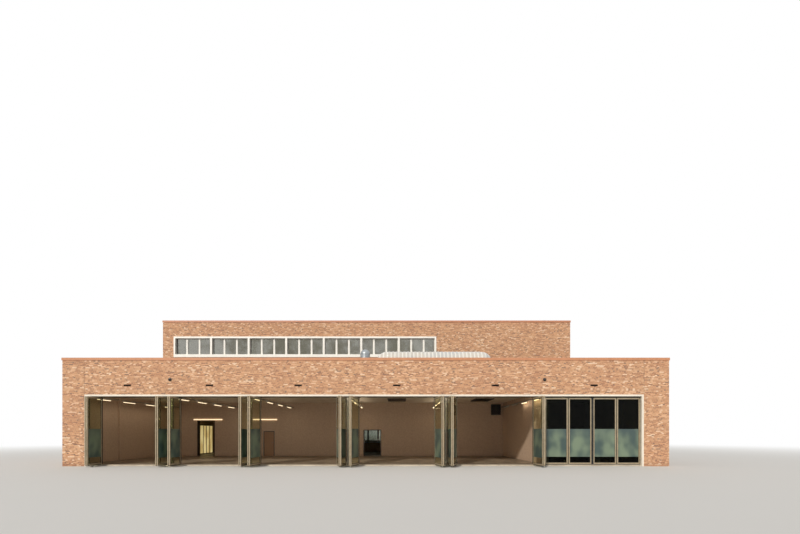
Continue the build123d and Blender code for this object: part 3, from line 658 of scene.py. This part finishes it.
nodeFinish = {
    "hall_floor": "floor", "wing_ground_floor": "roomFloor", "wing_upper_floors": "roomFloor",
    "door_thresholds": "threshold", "hall_roof": "roof", "wing_roof": "roof",
    "hall_coping": "hallCoping", "wing_coping": "wingCoping",
    "front_window_frame": "window", "rear_window_frames": "window",
    "front_window_glass": "windowGlass", "rear_window_glass": "windowGlass",
    "opening_trim": "trim", "door_posts": "post", "head_track": "track", "leaf_guide_arms": "track",
    "leaf_clear_glass": "leafGlass", "leaf_frosted_glass": "frosted",
    "leaf_edge_seals": "seal", "leaf_bottom_brushes": "brush", "leaf_hinges": "hinge",
    "vent_louvres": "vent", "front_lamps": "frontLamp", "rooflight_curb": "curb",
    "rooflight_vault": "vault", "roof_cowl": "cowl", "light_rails": "rail", "hall_lights": "lampCase",
    "inner_door_frames": "innerFrame", "inner_door": "wood", "wall_display": "display",
    "hall_ceiling": "ceiling", "doorway_lamps": "doorGlow", "corridor_glass": "litGlass",
}


def dressNodes():
    for name, node in cadNodes.items():
        if name in wallNodes:
            material = brickwork
        elif name.endswith("leaf_frames"):
            material = finishes["leaf"]
        else:
            material = finishes[nodeFinish[name]]
        if not node.material_slots:
            node.data.materials.append(material)
        for slot in node.material_slots:
            slot.material = material
    print("frame nodes dressed:", len(cadNodes))


dressNodes()


# Mesh helpers. Every added piece is drawn in the frame's own coordinates.

def addBar(bm, middle, along, half, across=None):
    # a straight bar: half sizes run along, across and up
    along = Vector(along).normalized()
    across = Vector(across).normalized() if across else Vector((-along.y, along.x, 0)).normalized()
    up = along.cross(across)
    corners = []
    for a in (-1, 1):
        for b in (-1, 1):
            for c in (-1, 1):
                place = Vector(middle) + along * half[0] * a + across * half[1] * b + up * half[2] * c
                corners.append(bm.verts.new(place))
    for face in ((0, 1, 3, 2), (4, 6, 7, 5), (0, 4, 5, 1), (2, 3, 7, 6), (0, 2, 6, 4), (1, 5, 7, 3)):
        bm.faces.new([corners[index] for index in face])


def addRing(bm, middle, along, halfWide, halfTall, face, depth):
    # an upright rectangular ring of bars, drawn inward from its outline
    along = Vector(along).normalized()
    up = Vector((0, 0, 1))
    across = along.cross(up)
    level = (halfWide, depth / 2, face / 2)
    upright = (halfTall - face, depth / 2, face / 2)
    for side in (-1, 1):
        addBar(bm, Vector(middle) + up * side * (halfTall - face / 2), along, level, across)
        addBar(bm, Vector(middle) + along * side * (halfWide - face / 2), up, upright, across)


def addTurned(bm, foot, axis, profile, sides):
    # a turned shape: profile holds (radius, distance along the axis)
    axis = Vector(axis).normalized()
    sideways = axis.orthogonal().normalized()
    other = axis.cross(sideways)
    rings = []
    for radius, distance in profile:
        ring = []
        for index in range(sides):
            angle = 2 * math.pi * index / sides
            offset = (sideways * math.cos(angle) + other * math.sin(angle)) * max(radius, 0.0002)
            ring.append(bm.verts.new(Vector(foot) + axis * distance + offset))
        rings.append(ring)
    for low, high in zip(rings, rings[1:]):
        for index in range(sides):
            after = (index + 1) % sides
            bm.faces.new((low[index], low[after], high[after], high[index]))
    bm.faces.new(rings[0][::-1])
    bm.faces.new(rings[-1])


def finishPiece(name, bm, material, bevel=0.0, smooth=False):
    bmesh.ops.recalc_face_normals(bm, faces=bm.faces)
    mesh = bpy.data.meshes.new(name)
    bm.to_mesh(mesh)
    bm.free()
    mesh.materials.append(material)
    piece = bpy.data.objects.new(name, mesh)
    bpy.context.scene.collection.objects.link(piece)
    if bevel:
        edgeRound = piece.modifiers.new("edges", "BEVEL")
        edgeRound.width = bevel
        edgeRound.segments = 2
        edgeRound.limit_method = "ANGLE"
    if smooth:
        mesh.shade_smooth()
    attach(piece, "root")
    return piece


def centre(points):
    return sum(points, Vector()) / len(points)


def looseParts(nodeName):
    # the separate solids of a frame node, each as its list of points
    bm = bmesh.new()
    bm.from_mesh(cadNodes[nodeName].data)
    bmesh.ops.remove_doubles(bm, verts=bm.verts, dist=0.00001)
    waiting = set(bm.verts)
    parts = []
    while waiting:
        front = [waiting.pop()]
        found = list(front)
        while front:
            vert = front.pop()
            for edge in vert.link_edges:
                other = edge.other_vert(vert)
                if other in waiting:
                    waiting.remove(other)
                    front.append(other)
                    found.append(other)
        parts.append([vert.co.copy() for vert in found])
    bm.free()
    return sorted(parts, key=lambda points: tuple(round(value, 3) for value in centre(points)))


def limits(points):
    low = Vector([min(p[i] for p in points) for i in range(3)])
    high = Vector([max(p[i] for p in points) for i in range(3)])
    return low, high


def paneOf(points):
    # middle, direction, half width and half thickness of an upright pane
    low, high = limits(points)
    foot = [p for p in points if p.z < low.z + 0.001]
    start = foot[0]
    nearest = min(foot[1:], key=lambda p: (p - start).length)
    across = (nearest - start).normalized()
    along = Vector((-across.y, across.x, 0))
    reach = [p.dot(along) for p in foot]
    middle = centre(foot)
    middle.z = (low.z + high.z) / 2
    return {
        "middle": middle, "along": along, "halfWide": (max(reach) - min(reach)) / 2,
        "halfThick": (nearest - start).length / 2, "low": low.z, "high": high.z,
    }


# Folding leaves: rubber round the panes, over the free edges and at the hinges

def distanceTo(here, there):
    # seen from above
    return (there - here).to_2d().length


def paneEnd(along, pane):
    return pane["middle"] + along * pane["halfWide"]


def dressLeaves():
    look = {
        "gasketFace": 0.009, "gasketDepth": 0.006, "stripFace": 0.012, "stripDepth": 0.003,
        "guardWide": 0.064, "guardThick": 0.068, "guardBack": 0.015,
        "guardShort": 0.002, "jointWide": 0.014, "jointProud": 0.0015, "jointShort": 0.004,
        "jointIn": 0.001, "sealNear": 0.12,
    }
    panes = [paneOf(points) for points in looseParts("leaf_frosted_glass")]
    glassLow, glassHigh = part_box("leaf_clear_glass")
    gaskets = bmesh.new()
    strips = bmesh.new()
    for pane in panes:
        across = pane["along"].cross(Vector((0, 0, 1)))
        middle = pane["middle"].copy()
        middle.z = (glassLow.z + glassHigh.z) / 2
        for side in (-1, 1):
            face = middle + across * side * (pane["halfThick"] + look["gasketDepth"] / 2)
            addRing(gaskets, face, pane["along"], pane["halfWide"], (glassHigh.z - glassLow.z) / 2,
                    look["gasketFace"], look["gasketDepth"])
            for level in (pane["low"], pane["high"]):
                place = pane["middle"] + across * side * (pane["halfThick"] + look["stripDepth"] / 2)
                place.z = level
                halfLong = pane["halfWide"] - look["gasketFace"]
                half = (halfLong, look["stripDepth"] / 2, look["stripFace"] / 2)
                addBar(strips, place, pane["along"], half)
    guards = bmesh.new()
    for points in looseParts("leaf_edge_seals"):
        low, high = limits(points)
        middle = (low + high) / 2
        # the nearest pane end tells which leaf carries this edge
        ends = [(pane["along"] * side, pane) for pane in panes for side in (-1, 1)]
        along = min(ends, key=lambda end: distanceTo(middle, paneEnd(*end)))[0]
        half = (look["guardWide"] / 2, look["guardThick"] / 2, (high.z - low.z) / 2 - look["guardShort"])
        addBar(guards, middle - along * look["guardBack"], along, half)
    # the other ends, at the posts and hinges, have a thin rubber joint
    sealPlaces = [centre(points) for points in looseParts("leaf_edge_seals")]
    joints = bmesh.new()
    for bay in range(1, 7):
        for points in looseParts("bay_" + str(bay) + "_leaf_frames"):
            low, high = limits(points)
            middle = (low + high) / 2
            along = min(panes, key=lambda pane: distanceTo(middle, pane["middle"]))["along"]
            across = along.cross(Vector((0, 0, 1)))
            reach = max(abs((p - middle).dot(along)) for p in points)
            thick = max(abs((p - middle).dot(across)) for p in points)
            for side in (-1, 1):
                end = middle + along * side * reach
                if min(distanceTo(end, place) for place in sealPlaces) > look["sealNear"]:
                    halfTall = (high.z - low.z) / 2 - look["jointShort"]
                    half = (look["jointWide"] / 2, thick + look["jointProud"], halfTall)
                    inward = look["jointWide"] / 2 + look["jointIn"]
                    addBar(joints, end - along * side * inward, along, half)
    finishPiece("leafJoints", joints, finishes["seal"])
    finishPiece("edgeGuards", guards, finishes["seal"], 0.008)
    finishPiece("leafGaskets", gaskets, finishes["seal"])
    finishPiece("filmEdges", strips, finishes["frosted"])
    print("leaves dressed:", len(panes))


dressLeaves()


# Strip windows: gaskets and slim sashes in every light

def barBeside(look, line):
    # how much of a light the bar on this line takes: every third bar is a wide divider
    if line in (0, look["lights"]):
        return look["frameFace"]
    return (look["mullion"] if line % 3 else look["divider"]) / 2


def dressWindows():
    look = {
        "lights": 21, "divider": 0.16, "mullion": 0.105, "frameFace": 0.14, "sash": 0.024,
        "sashDepth": 0.03, "gasket": 0.008, "gasketDepth": 0.014,
    }
    sashes = bmesh.new()
    gaskets = bmesh.new()
    count = 0
    for nodeName, outward in (("front_window_glass", -1), ("rear_window_glass", 1)):
        for points in looseParts(nodeName):
            low, high = limits(points)
            pitch = (high.x - low.x + 2 * look["frameFace"]) / look["lights"]
            y = low.y if outward < 0 else high.y
            for light in range(look["lights"]):
                left = low.x - look["frameFace"] + pitch * light
                right = left + pitch
                left += barBeside(look, light)
                right -= barBeside(look, light + 1)
                depth = outward * look["sashDepth"] / 2
                middle = Vector(((left + right) / 2, y + depth, (low.z + high.z) / 2))
                halfWide, halfTall = (right - left) / 2, (high.z - low.z) / 2
                addRing(sashes, middle, (1, 0, 0), halfWide, halfTall, look["sash"], look["sashDepth"])
                middle.y = y + outward * look["gasketDepth"] / 2
                addRing(gaskets, middle, (1, 0, 0), halfWide - look["sash"], halfTall - look["sash"],
                        look["gasket"], look["gasketDepth"])
                count += 1
    finishPiece("windowSashes", sashes, finishes["window"], 0.003)
    finishPiece("windowGaskets", gaskets, finishes["seal"])
    print("window lights dressed:", count)


dressWindows()


# Lamps in the hall: glowing covers and end caps

def dressHallLamps():
    look = {
        "coverRadius": 0.034, "capLength": 0.03, "capStep": 0.004, "sides": 10, "drop": 0.012,
        "litUpTo": 9.0, "litFront": 0.0,
    }
    covers = bmesh.new()
    darkCovers = bmesh.new()
    caps = bmesh.new()
    radius = look["coverRadius"]
    lamps = looseParts("hall_lights")
    for points in lamps:
        low, high = limits(points)
        x = (low.x + high.x) / 2
        foot = Vector((x, low.y + look["capLength"], low.z - look["drop"] + radius / 2))
        length = high.y - low.y - 2 * look["capLength"]
        cover = covers if x < look["litUpTo"] or high.y < look["litFront"] else darkCovers
        addTurned(cover, foot, (0, 1, 0), [(radius, 0), (radius, length)], look["sides"])
        for start in (low.y, high.y - look["capLength"]):
            capFoot = Vector((x, start, foot.z))
            outer = radius * 1.2
            profile = [(radius * 0.8, 0), (outer, look["capStep"]), (outer, look["capLength"])]
            addTurned(caps, capFoot, (0, 1, 0), profile, look["sides"])
    finishPiece("lampCovers", covers, finishes["glow"], smooth=True)
    finishPiece("lampCoversOff", darkCovers, finishes["lampCase"], smooth=True)
    finishPiece("lampCaps", caps, finishes["rail"])
    print("hall lamps dressed:", len(lamps))


dressHallLamps()


# Rooflight: the clamping rail between curb and vault, with its bolts

def dressRooflight():
    look = {
        "railTall": 0.05, "railThick": 0.012, "lap": 0.003, "endSteps": 12,
        "boltRadius": 0.012, "boltPitch": 0.27,
    }
    low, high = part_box("rooflight_curb")
    middle = (low + high) / 2
    radius = (high.y - low.y) / 2
    straight = (high.x - low.x) / 2 - radius
    outline = []
    for side in (1, -1):
        for step in range(look["endSteps"] + 1):
            angle = math.pi * step / look["endSteps"] - math.pi / 2
            x = middle.x + side * (straight + radius * math.cos(angle))
            outline.append(Vector((x, middle.y + side * radius * math.sin(angle), 0)))
    rail = bmesh.new()
    bolts = bmesh.new()
    for here, there in zip(outline, outline[1:] + outline[:1]):
        run = there - here
        out = Vector((run.y, -run.x, 0)).normalized()
        place = (here + there) / 2 + out * look["railThick"] / 2
        place.z = high.z - look["railTall"] / 2
        half = (run.length / 2 + look["lap"], look["railThick"] / 2, look["railTall"] / 2)
        addBar(rail, place, run, half, out)
        count = max(1, int(run.length / look["boltPitch"]))
        for number in range(count):
            foot = here + run * (number + 0.5) / count + out * look["railThick"]
            foot.z = place.z
            head = look["boltRadius"]
            addTurned(bolts, foot, out, [(head, 0), (head, 0.004), (head * 0.6, 0.009)], 6)
    finishPiece("vaultRail", rail, finishes["curb"])
    finishPiece("vaultBolts", bolts, finishes["hinge"])
    print("vault rail laid:", len(outline), "lengths")


dressRooflight()


# Rooflight: the translucent vault with a raised rib at every joint

def dressVault():
    look = {
        "ribPitch": 0.234, "ribFace": 0.11, "flank": 0.014, "rise": 0.018, "shell": 0.05,
        "sides": 32, "endSteps": 9, "endAngle": 80.0, "lastAngle": 87.0, "sharp": 30.0,
    }
    low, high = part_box("rooflight_vault")
    middle = (low + high) / 2
    outer = (high.y - low.y) / 2
    skin = outer - look["rise"]
    straight = (high.x - low.x) / 2 - skin * math.sin(math.radians(look["endAngle"]))
    dome = []
    for step in range(look["endSteps"] + 1):
        angle = math.radians(look["lastAngle"]) * step / look["endSteps"]
        dome.append((skin * math.cos(angle), straight + skin * math.sin(angle)))
    rings = [(reach, -x) for reach, x in reversed(dome)]
    count = int((2 * straight - look["ribFace"] - 2 * look["flank"]) / look["ribPitch"])
    for rib in range(count + 1):
        x = (rib - count / 2) * look["ribPitch"]
        top = look["ribFace"] / 2
        foot = top + look["flank"]
        rings += [(skin, x - foot), (outer, x - top), (outer, x + top), (skin, x + foot)]
    rings += dome
    bm = bmesh.new()
    rows = []
    for reach, x in rings:
        row = []
        for side in range(look["sides"] + 1):
            angle = math.pi * side / look["sides"]
            y, z = middle.y + reach * math.cos(angle), low.z + reach * math.sin(angle)
            row.append(bm.verts.new((middle.x + x, y, z)))
        rows.append(row)
    for here, there in zip(rows, rows[1:]):
        for side in range(look["sides"]):
            bm.faces.new((here[side], there[side], there[side + 1], here[side + 1]))
    for row in (rows[0], rows[-1]):
        bm.faces.new(row)
    vault = finishPiece("ribbedVault", bm, finishes["vault"], smooth=True)
    vault.data.set_sharp_from_angle(angle=math.radians(look["sharp"]))
    thick = vault.modifiers.new("shell", "SOLIDIFY")
    thick.thickness = look["shell"]
    thick.offset = -1.0
    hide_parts("rooflight_vault")
    print("rooflight ribs:", count + 1)


dressVault()


# Cowl: rolled beads round the pipe

def dressCowl():
    look = {"beads": 3, "beadTall": 0.018, "beadProud": 0.01, "beadIn": 0.004, "sides": 48}
    low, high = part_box("roof_cowl")
    radius = (high.x - low.x) / 2
    middle = (low + high) / 2
    beads = bmesh.new()
    straight = high.z - radius - low.z
    tall, foot, proud = look["beadTall"], radius - look["beadIn"], radius + look["beadProud"]
    profile = [(foot, 0), (proud, tall * 0.3), (proud, tall * 0.7), (foot, tall)]
    for bead in range(look["beads"]):
        level = low.z + straight * (bead + 1) / look["beads"] - tall
        addTurned(beads, (middle.x, middle.y, level), (0, 0, 1), profile, look["sides"])
    finishPiece("cowlBeads", beads, finishes["cowl"], smooth=True)
    print("cowl beads:", look["beads"])


dressCowl()


# Inner door: lever handle on its rose, and the dark cabinet's front louvres

def dressInnerWall():
    look = {
        "handleHeight": 1.05, "handleInset": 0.07, "lever": 0.12, "leverHalf": 0.009, "neck": 0.05,
        "rose": 0.026, "spindle": 0.01, "blades": 9, "rim": 0.06, "bladeProud": 0.004, "bladeHalf": 0.006,
    }
    low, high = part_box("inner_door")
    handle = bmesh.new()
    place = Vector((high.x - look["handleInset"], low.y, low.z + look["handleHeight"]))
    rose, spindle = look["rose"], look["spindle"]
    profile = [(rose, 0), (rose, 0.006), (spindle, 0.01), (spindle, look["neck"])]
    addTurned(handle, place, (0, -1, 0), profile, 16)
    grip = place + Vector((spindle - look["lever"] / 2, -look["neck"], 0))
    addBar(handle, grip, (1, 0, 0), (look["lever"] / 2, look["leverHalf"], look["leverHalf"]))
    finishPiece("innerDoorHandle", handle, finishes["hinge"], 0.003)
    low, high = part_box("wall_display")
    louvres = bmesh.new()
    pitch = (high.z - low.z - 2 * look["rim"]) / look["blades"]
    half = ((high.x - low.x) / 2 - look["rim"], look["bladeHalf"], pitch * 0.28)
    for blade in range(look["blades"]):
        level = low.z + look["rim"] + pitch * (blade + 0.5)
        addBar(louvres, ((low.x + high.x) / 2, low.y - look["bladeProud"], level), (1, 0, 0), half)
    finishPiece("cabinetLouvres", louvres, finishes["display"], 0.003)
    print("inner wall dressed:", look["blades"], "louvres")


dressInnerWall()


# Ceiling: two dark panels with fins over the middle bays

def dressCeiling():
    look = {
        "middles": (1.7, 7.86), "frontEdge": 0.7, "wide": 1.3, "long": 2.3, "deep": 0.05,
        "rim": 0.04, "plate": 0.008, "fins": 16, "finThick": 0.012, "finLow": 0.004,
    }
    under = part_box("hall_ceiling")[0].z
    y = look["frontEdge"] + look["long"] / 2
    halfWide, halfLong, halfDeep, halfRim = (look[title] / 2 for title in ("wide", "long", "deep", "rim"))
    innerWide, innerLong = halfWide - look["rim"], halfLong - look["rim"]
    level = under - halfDeep
    panels = bmesh.new()
    for x in look["middles"]:
        addBar(panels, (x, y, under - look["plate"]), (1, 0, 0), (halfWide, halfLong, look["plate"]))
        for side in (-1, 1):
            edge, end = x + side * (halfWide - halfRim), y + side * (halfLong - halfRim)
            addBar(panels, (edge, y, level), (0, 1, 0), (halfLong, halfRim, halfDeep))
            addBar(panels, (x, end, level), (1, 0, 0), (innerWide, halfRim, halfDeep))
        for fin in range(1, look["fins"]):
            place = (x + innerWide * (2 * fin / look["fins"] - 1), y, level - look["finLow"])
            addBar(panels, place, (0, 1, 0), (innerLong, look["finThick"] / 2, halfDeep - look["plate"]))
    finishPiece("ceilingPanels", panels, finishes["heater"])
    print("ceiling panels hung:", len(look["middles"]))


dressCeiling()


# Hall: the plastered wall between the fifth and the sixth bay

def dressPartition():
    look = {"left": 10.16, "thick": 0.24, "frontGap": 0.035, "seam": 0.002, "edge": 0.006}
    low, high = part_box("hall_floor")
    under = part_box("hall_ceiling")[0].z
    front, back = low.y + look["frontGap"], high.y - look["seam"]
    middle = (look["left"] + look["thick"] / 2, (front + back) / 2, (high.z + under) / 2)
    half = ((back - front) / 2, look["thick"] / 2, (under - high.z) / 2 - look["seam"])
    wall = bmesh.new()
    addBar(wall, middle, (0, 1, 0), half)
    finishPiece("bayPartition", wall, brickwork, look["edge"])
    print("partition built:", round(back - front, 2), "m long")


dressPartition()


# Brick band: upright movement joints over both ends of the door opening

def dressWallJoints():
    look = {"wide": 0.014, "proud": 0.0015, "outside": 0.02}
    low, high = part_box("front_wall_over_doors")
    trimLow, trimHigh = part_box("opening_trim")
    half = ((high.z - low.z) / 2, look["wide"] / 2, look["proud"])
    joints = bmesh.new()
    for x in (trimLow.x - look["outside"], trimHigh.x + look["outside"]):
        addBar(joints, (x, low.y - look["proud"] / 2, (low.z + high.z) / 2), (0, 0, 1), half, (1, 0, 0))
    finishPiece("wallJoints", joints, finishes["sealant"])
    print("joints in the brick band: 2")


dressWallJoints()


# Front lamps: a metal rim on each housing

def dressFrontLamps():
    look = {"back": 0.012, "step": 0.006, "fold": 0.014, "tip": 0.02, "sides": 32}
    rims = bmesh.new()
    lamps = looseParts("front_lamps")
    for points in lamps:
        low, high = limits(points)
        radius = (high.x - low.x) / 2
        place = ((low.x + high.x) / 2, high.y - look["back"], (low.z + high.z) / 2)
        outer = radius * 1.06
        profile = [(radius * 1.02, 0), (outer, look["step"]), (outer, look["fold"]), (radius, look["tip"])]
        addTurned(rims, place, (0, -1, 0), profile, look["sides"])
    finishPiece("lampRims", rims, finishes["hinge"])
    print("front lamps dressed:", len(lamps))


dressFrontLamps()


# Floor, camera and light

def makeStage():
    look = {
        "half": 400.0, "below": 0.002, "pale": tone(228, 226, 222), "patch": tone(214, 212, 208),
        "nearEdge": 26.0, "farEdge": 75.0,
    }
    bm = bmesh.new()
    signs = ((-1, -1), (1, -1), (1, 1), (-1, 1))
    bm.faces.new([bm.verts.new((x * look["half"], y * look["half"], -look["below"])) for x, y in signs])
    mesh = bpy.data.meshes.new("paleFloor")
    bm.to_mesh(mesh)
    bm.free()
    ground = bpy.data.objects.new("paleFloor", mesh)
    bpy.context.scene.collection.objects.link(ground)
    material, shader, place, _ = startMaterial("paleFloor")
    soft = cloud(place, 0.3, 3.0, 0.5)
    fill(shader, {
        "Base Color": blend(times(soft, 0.1), look["pale"], look["patch"]),
        "Roughness": 0.85,
    })
    # far away the floor turns into the white background
    flatPlace = stretched(place, 1.0, 1.0, 0.0)
    distance = addNode("ShaderNodeVectorMath", {0: flatPlace}, operation="LENGTH").outputs["Value"]
    nodes = material.node_tree.nodes
    glow = nodes.new("ShaderNodeEmission")
    glow.inputs["Color"].default_value = (1, 1, 1, 1)
    seen = nodes.new("ShaderNodeLightPath").outputs["Is Camera Ray"]
    away = times(fade(distance, look["nearEdge"], look["farEdge"]), seen)
    output = next(entry for entry in nodes if entry.type == "OUTPUT_MATERIAL")
    mixed = addNode("ShaderNodeMixShader", {0: away, 1: shader.outputs[0], 2: glow.outputs[0]})
    feed(output.inputs["Surface"], mixed.outputs[0])
    mesh.materials.append(material)


def makeLight():
    look = {
        "sunStrength": 2.3, "sunSoftness": 4.0, "sunHeight": 29.0, "sunLeft": 25.0, "ambient": 0.42,
        "sunColour": (1.0, 0.95, 0.87), "skyColour": (0.93, 0.96, 1.0, 1.0),
    }
    lamp = bpy.data.lights.new("keyLight", "SUN")
    lamp.energy = look["sunStrength"]
    lamp.angle = math.radians(look["sunSoftness"])
    lamp.color = look["sunColour"]
    key = bpy.data.objects.new("keyLight", lamp)
    rise, left = math.radians(look["sunHeight"]), math.radians(look["sunLeft"])
    toward = Vector((math.sin(left) * math.cos(rise), math.cos(left) * math.cos(rise), -math.sin(rise)))
    key.rotation_mode = "QUATERNION"
    key.rotation_quaternion = toward.to_track_quat("-Z", "Y")
    bpy.context.scene.collection.objects.link(key)
    world = bpy.data.worlds.new("studio")
    world.use_nodes = True
    nodes = world.node_tree.nodes
    nodes.clear()
    path = nodes.new("ShaderNodeLightPath").outputs
    seen = calc("MAXIMUM", path["Is Glossy Ray"], path["Is Transmission Ray"])
    seen = calc("MAXIMUM", path["Is Camera Ray"], seen)
    ambient = nodes.new("ShaderNodeBackground")
    fill(ambient, {"Color": look["skyColour"], "Strength": look["ambient"]})
    white = nodes.new("ShaderNodeBackground")
    white.inputs["Color"].default_value = (1, 1, 1, 1)
    mixed = addNode("ShaderNodeMixShader", {0: seen, 1: ambient.outputs[0], 2: white.outputs[0]})
    addNode("ShaderNodeOutputWorld", {"Surface": mixed.outputs[0]})
    bpy.context.scene.world = world


def makeHallLight():
    # one soft strip of light under each row of lamps
    look = {
        "power": 15.0, "upPower": 4.0, "middlePower": 18.0, "middleFrom": -2.0, "litUpTo": 9.0,
        "wide": 0.3, "below": 0.1, "colour": (1.0, 0.86, 0.68),
        "lastWide": 0.1, "lastBack": -0.6, "lastPower": 4.0,
    }
    low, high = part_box("hall_lights")
    rows = sorted({round(centre(points).x, 2) for points in looseParts("hall_lights")})
    for number, x in enumerate(rows):
        wide, back, downward, upward = look["wide"], high.y, look["power"], look["upPower"]
        if x > look["litUpTo"]:
            # only the front lamps of the last row are lit, close to the wall of the sixth bay
            wide, back, downward = look["lastWide"], look["lastBack"], look["lastPower"]
            upward = look["lastPower"]
        elif x > look["middleFrom"]:
            upward = look["middlePower"]
        for title, power, turn in (("down", downward, 0.0), ("up", upward, math.pi)):
            strip = bpy.data.lights.new("hallStrip", "AREA")
            strip.shape = "RECTANGLE"
            strip.size = wide
            strip.size_y = back - low.y
            strip.energy = power
            strip.color = look["colour"]
            hung = bpy.data.objects.new(title + "Strip" + str(number + 1), strip)
            hung.location = (x, (low.y + back) / 2, low.z - look["below"])
            hung.rotation_euler = (0, turn, 0)
            hung.visible_camera = hung.visible_glossy = hung.visible_transmission = False
            bpy.context.scene.collection.objects.link(hung)
    print("light strips in the hall:", len(rows))


def makeCamera():
    # the photograph's own standpoint: level, straight on to the front, raised by lens shift
    view = {"place": (1.925, -29.7, 1.8), "lens": 19.62, "shiftUp": 0.209}
    data = bpy.data.cameras.new("camera")
    data.lens = view["lens"]
    data.sensor_width = 36.0
    data.shift_y = view["shiftUp"]
    data.clip_end = 600.0
    camera = bpy.data.objects.new("camera", data)
    camera.location = view["place"]
    camera.rotation_euler = (math.radians(90), 0, 0)
    bpy.context.scene.collection.objects.link(camera)
    bpy.context.scene.camera = camera


makeStage()
makeLight()
makeHallLight()
makeCamera()
bpy.context.scene.view_settings.view_transform = "Standard"
print("stage, light and camera set")
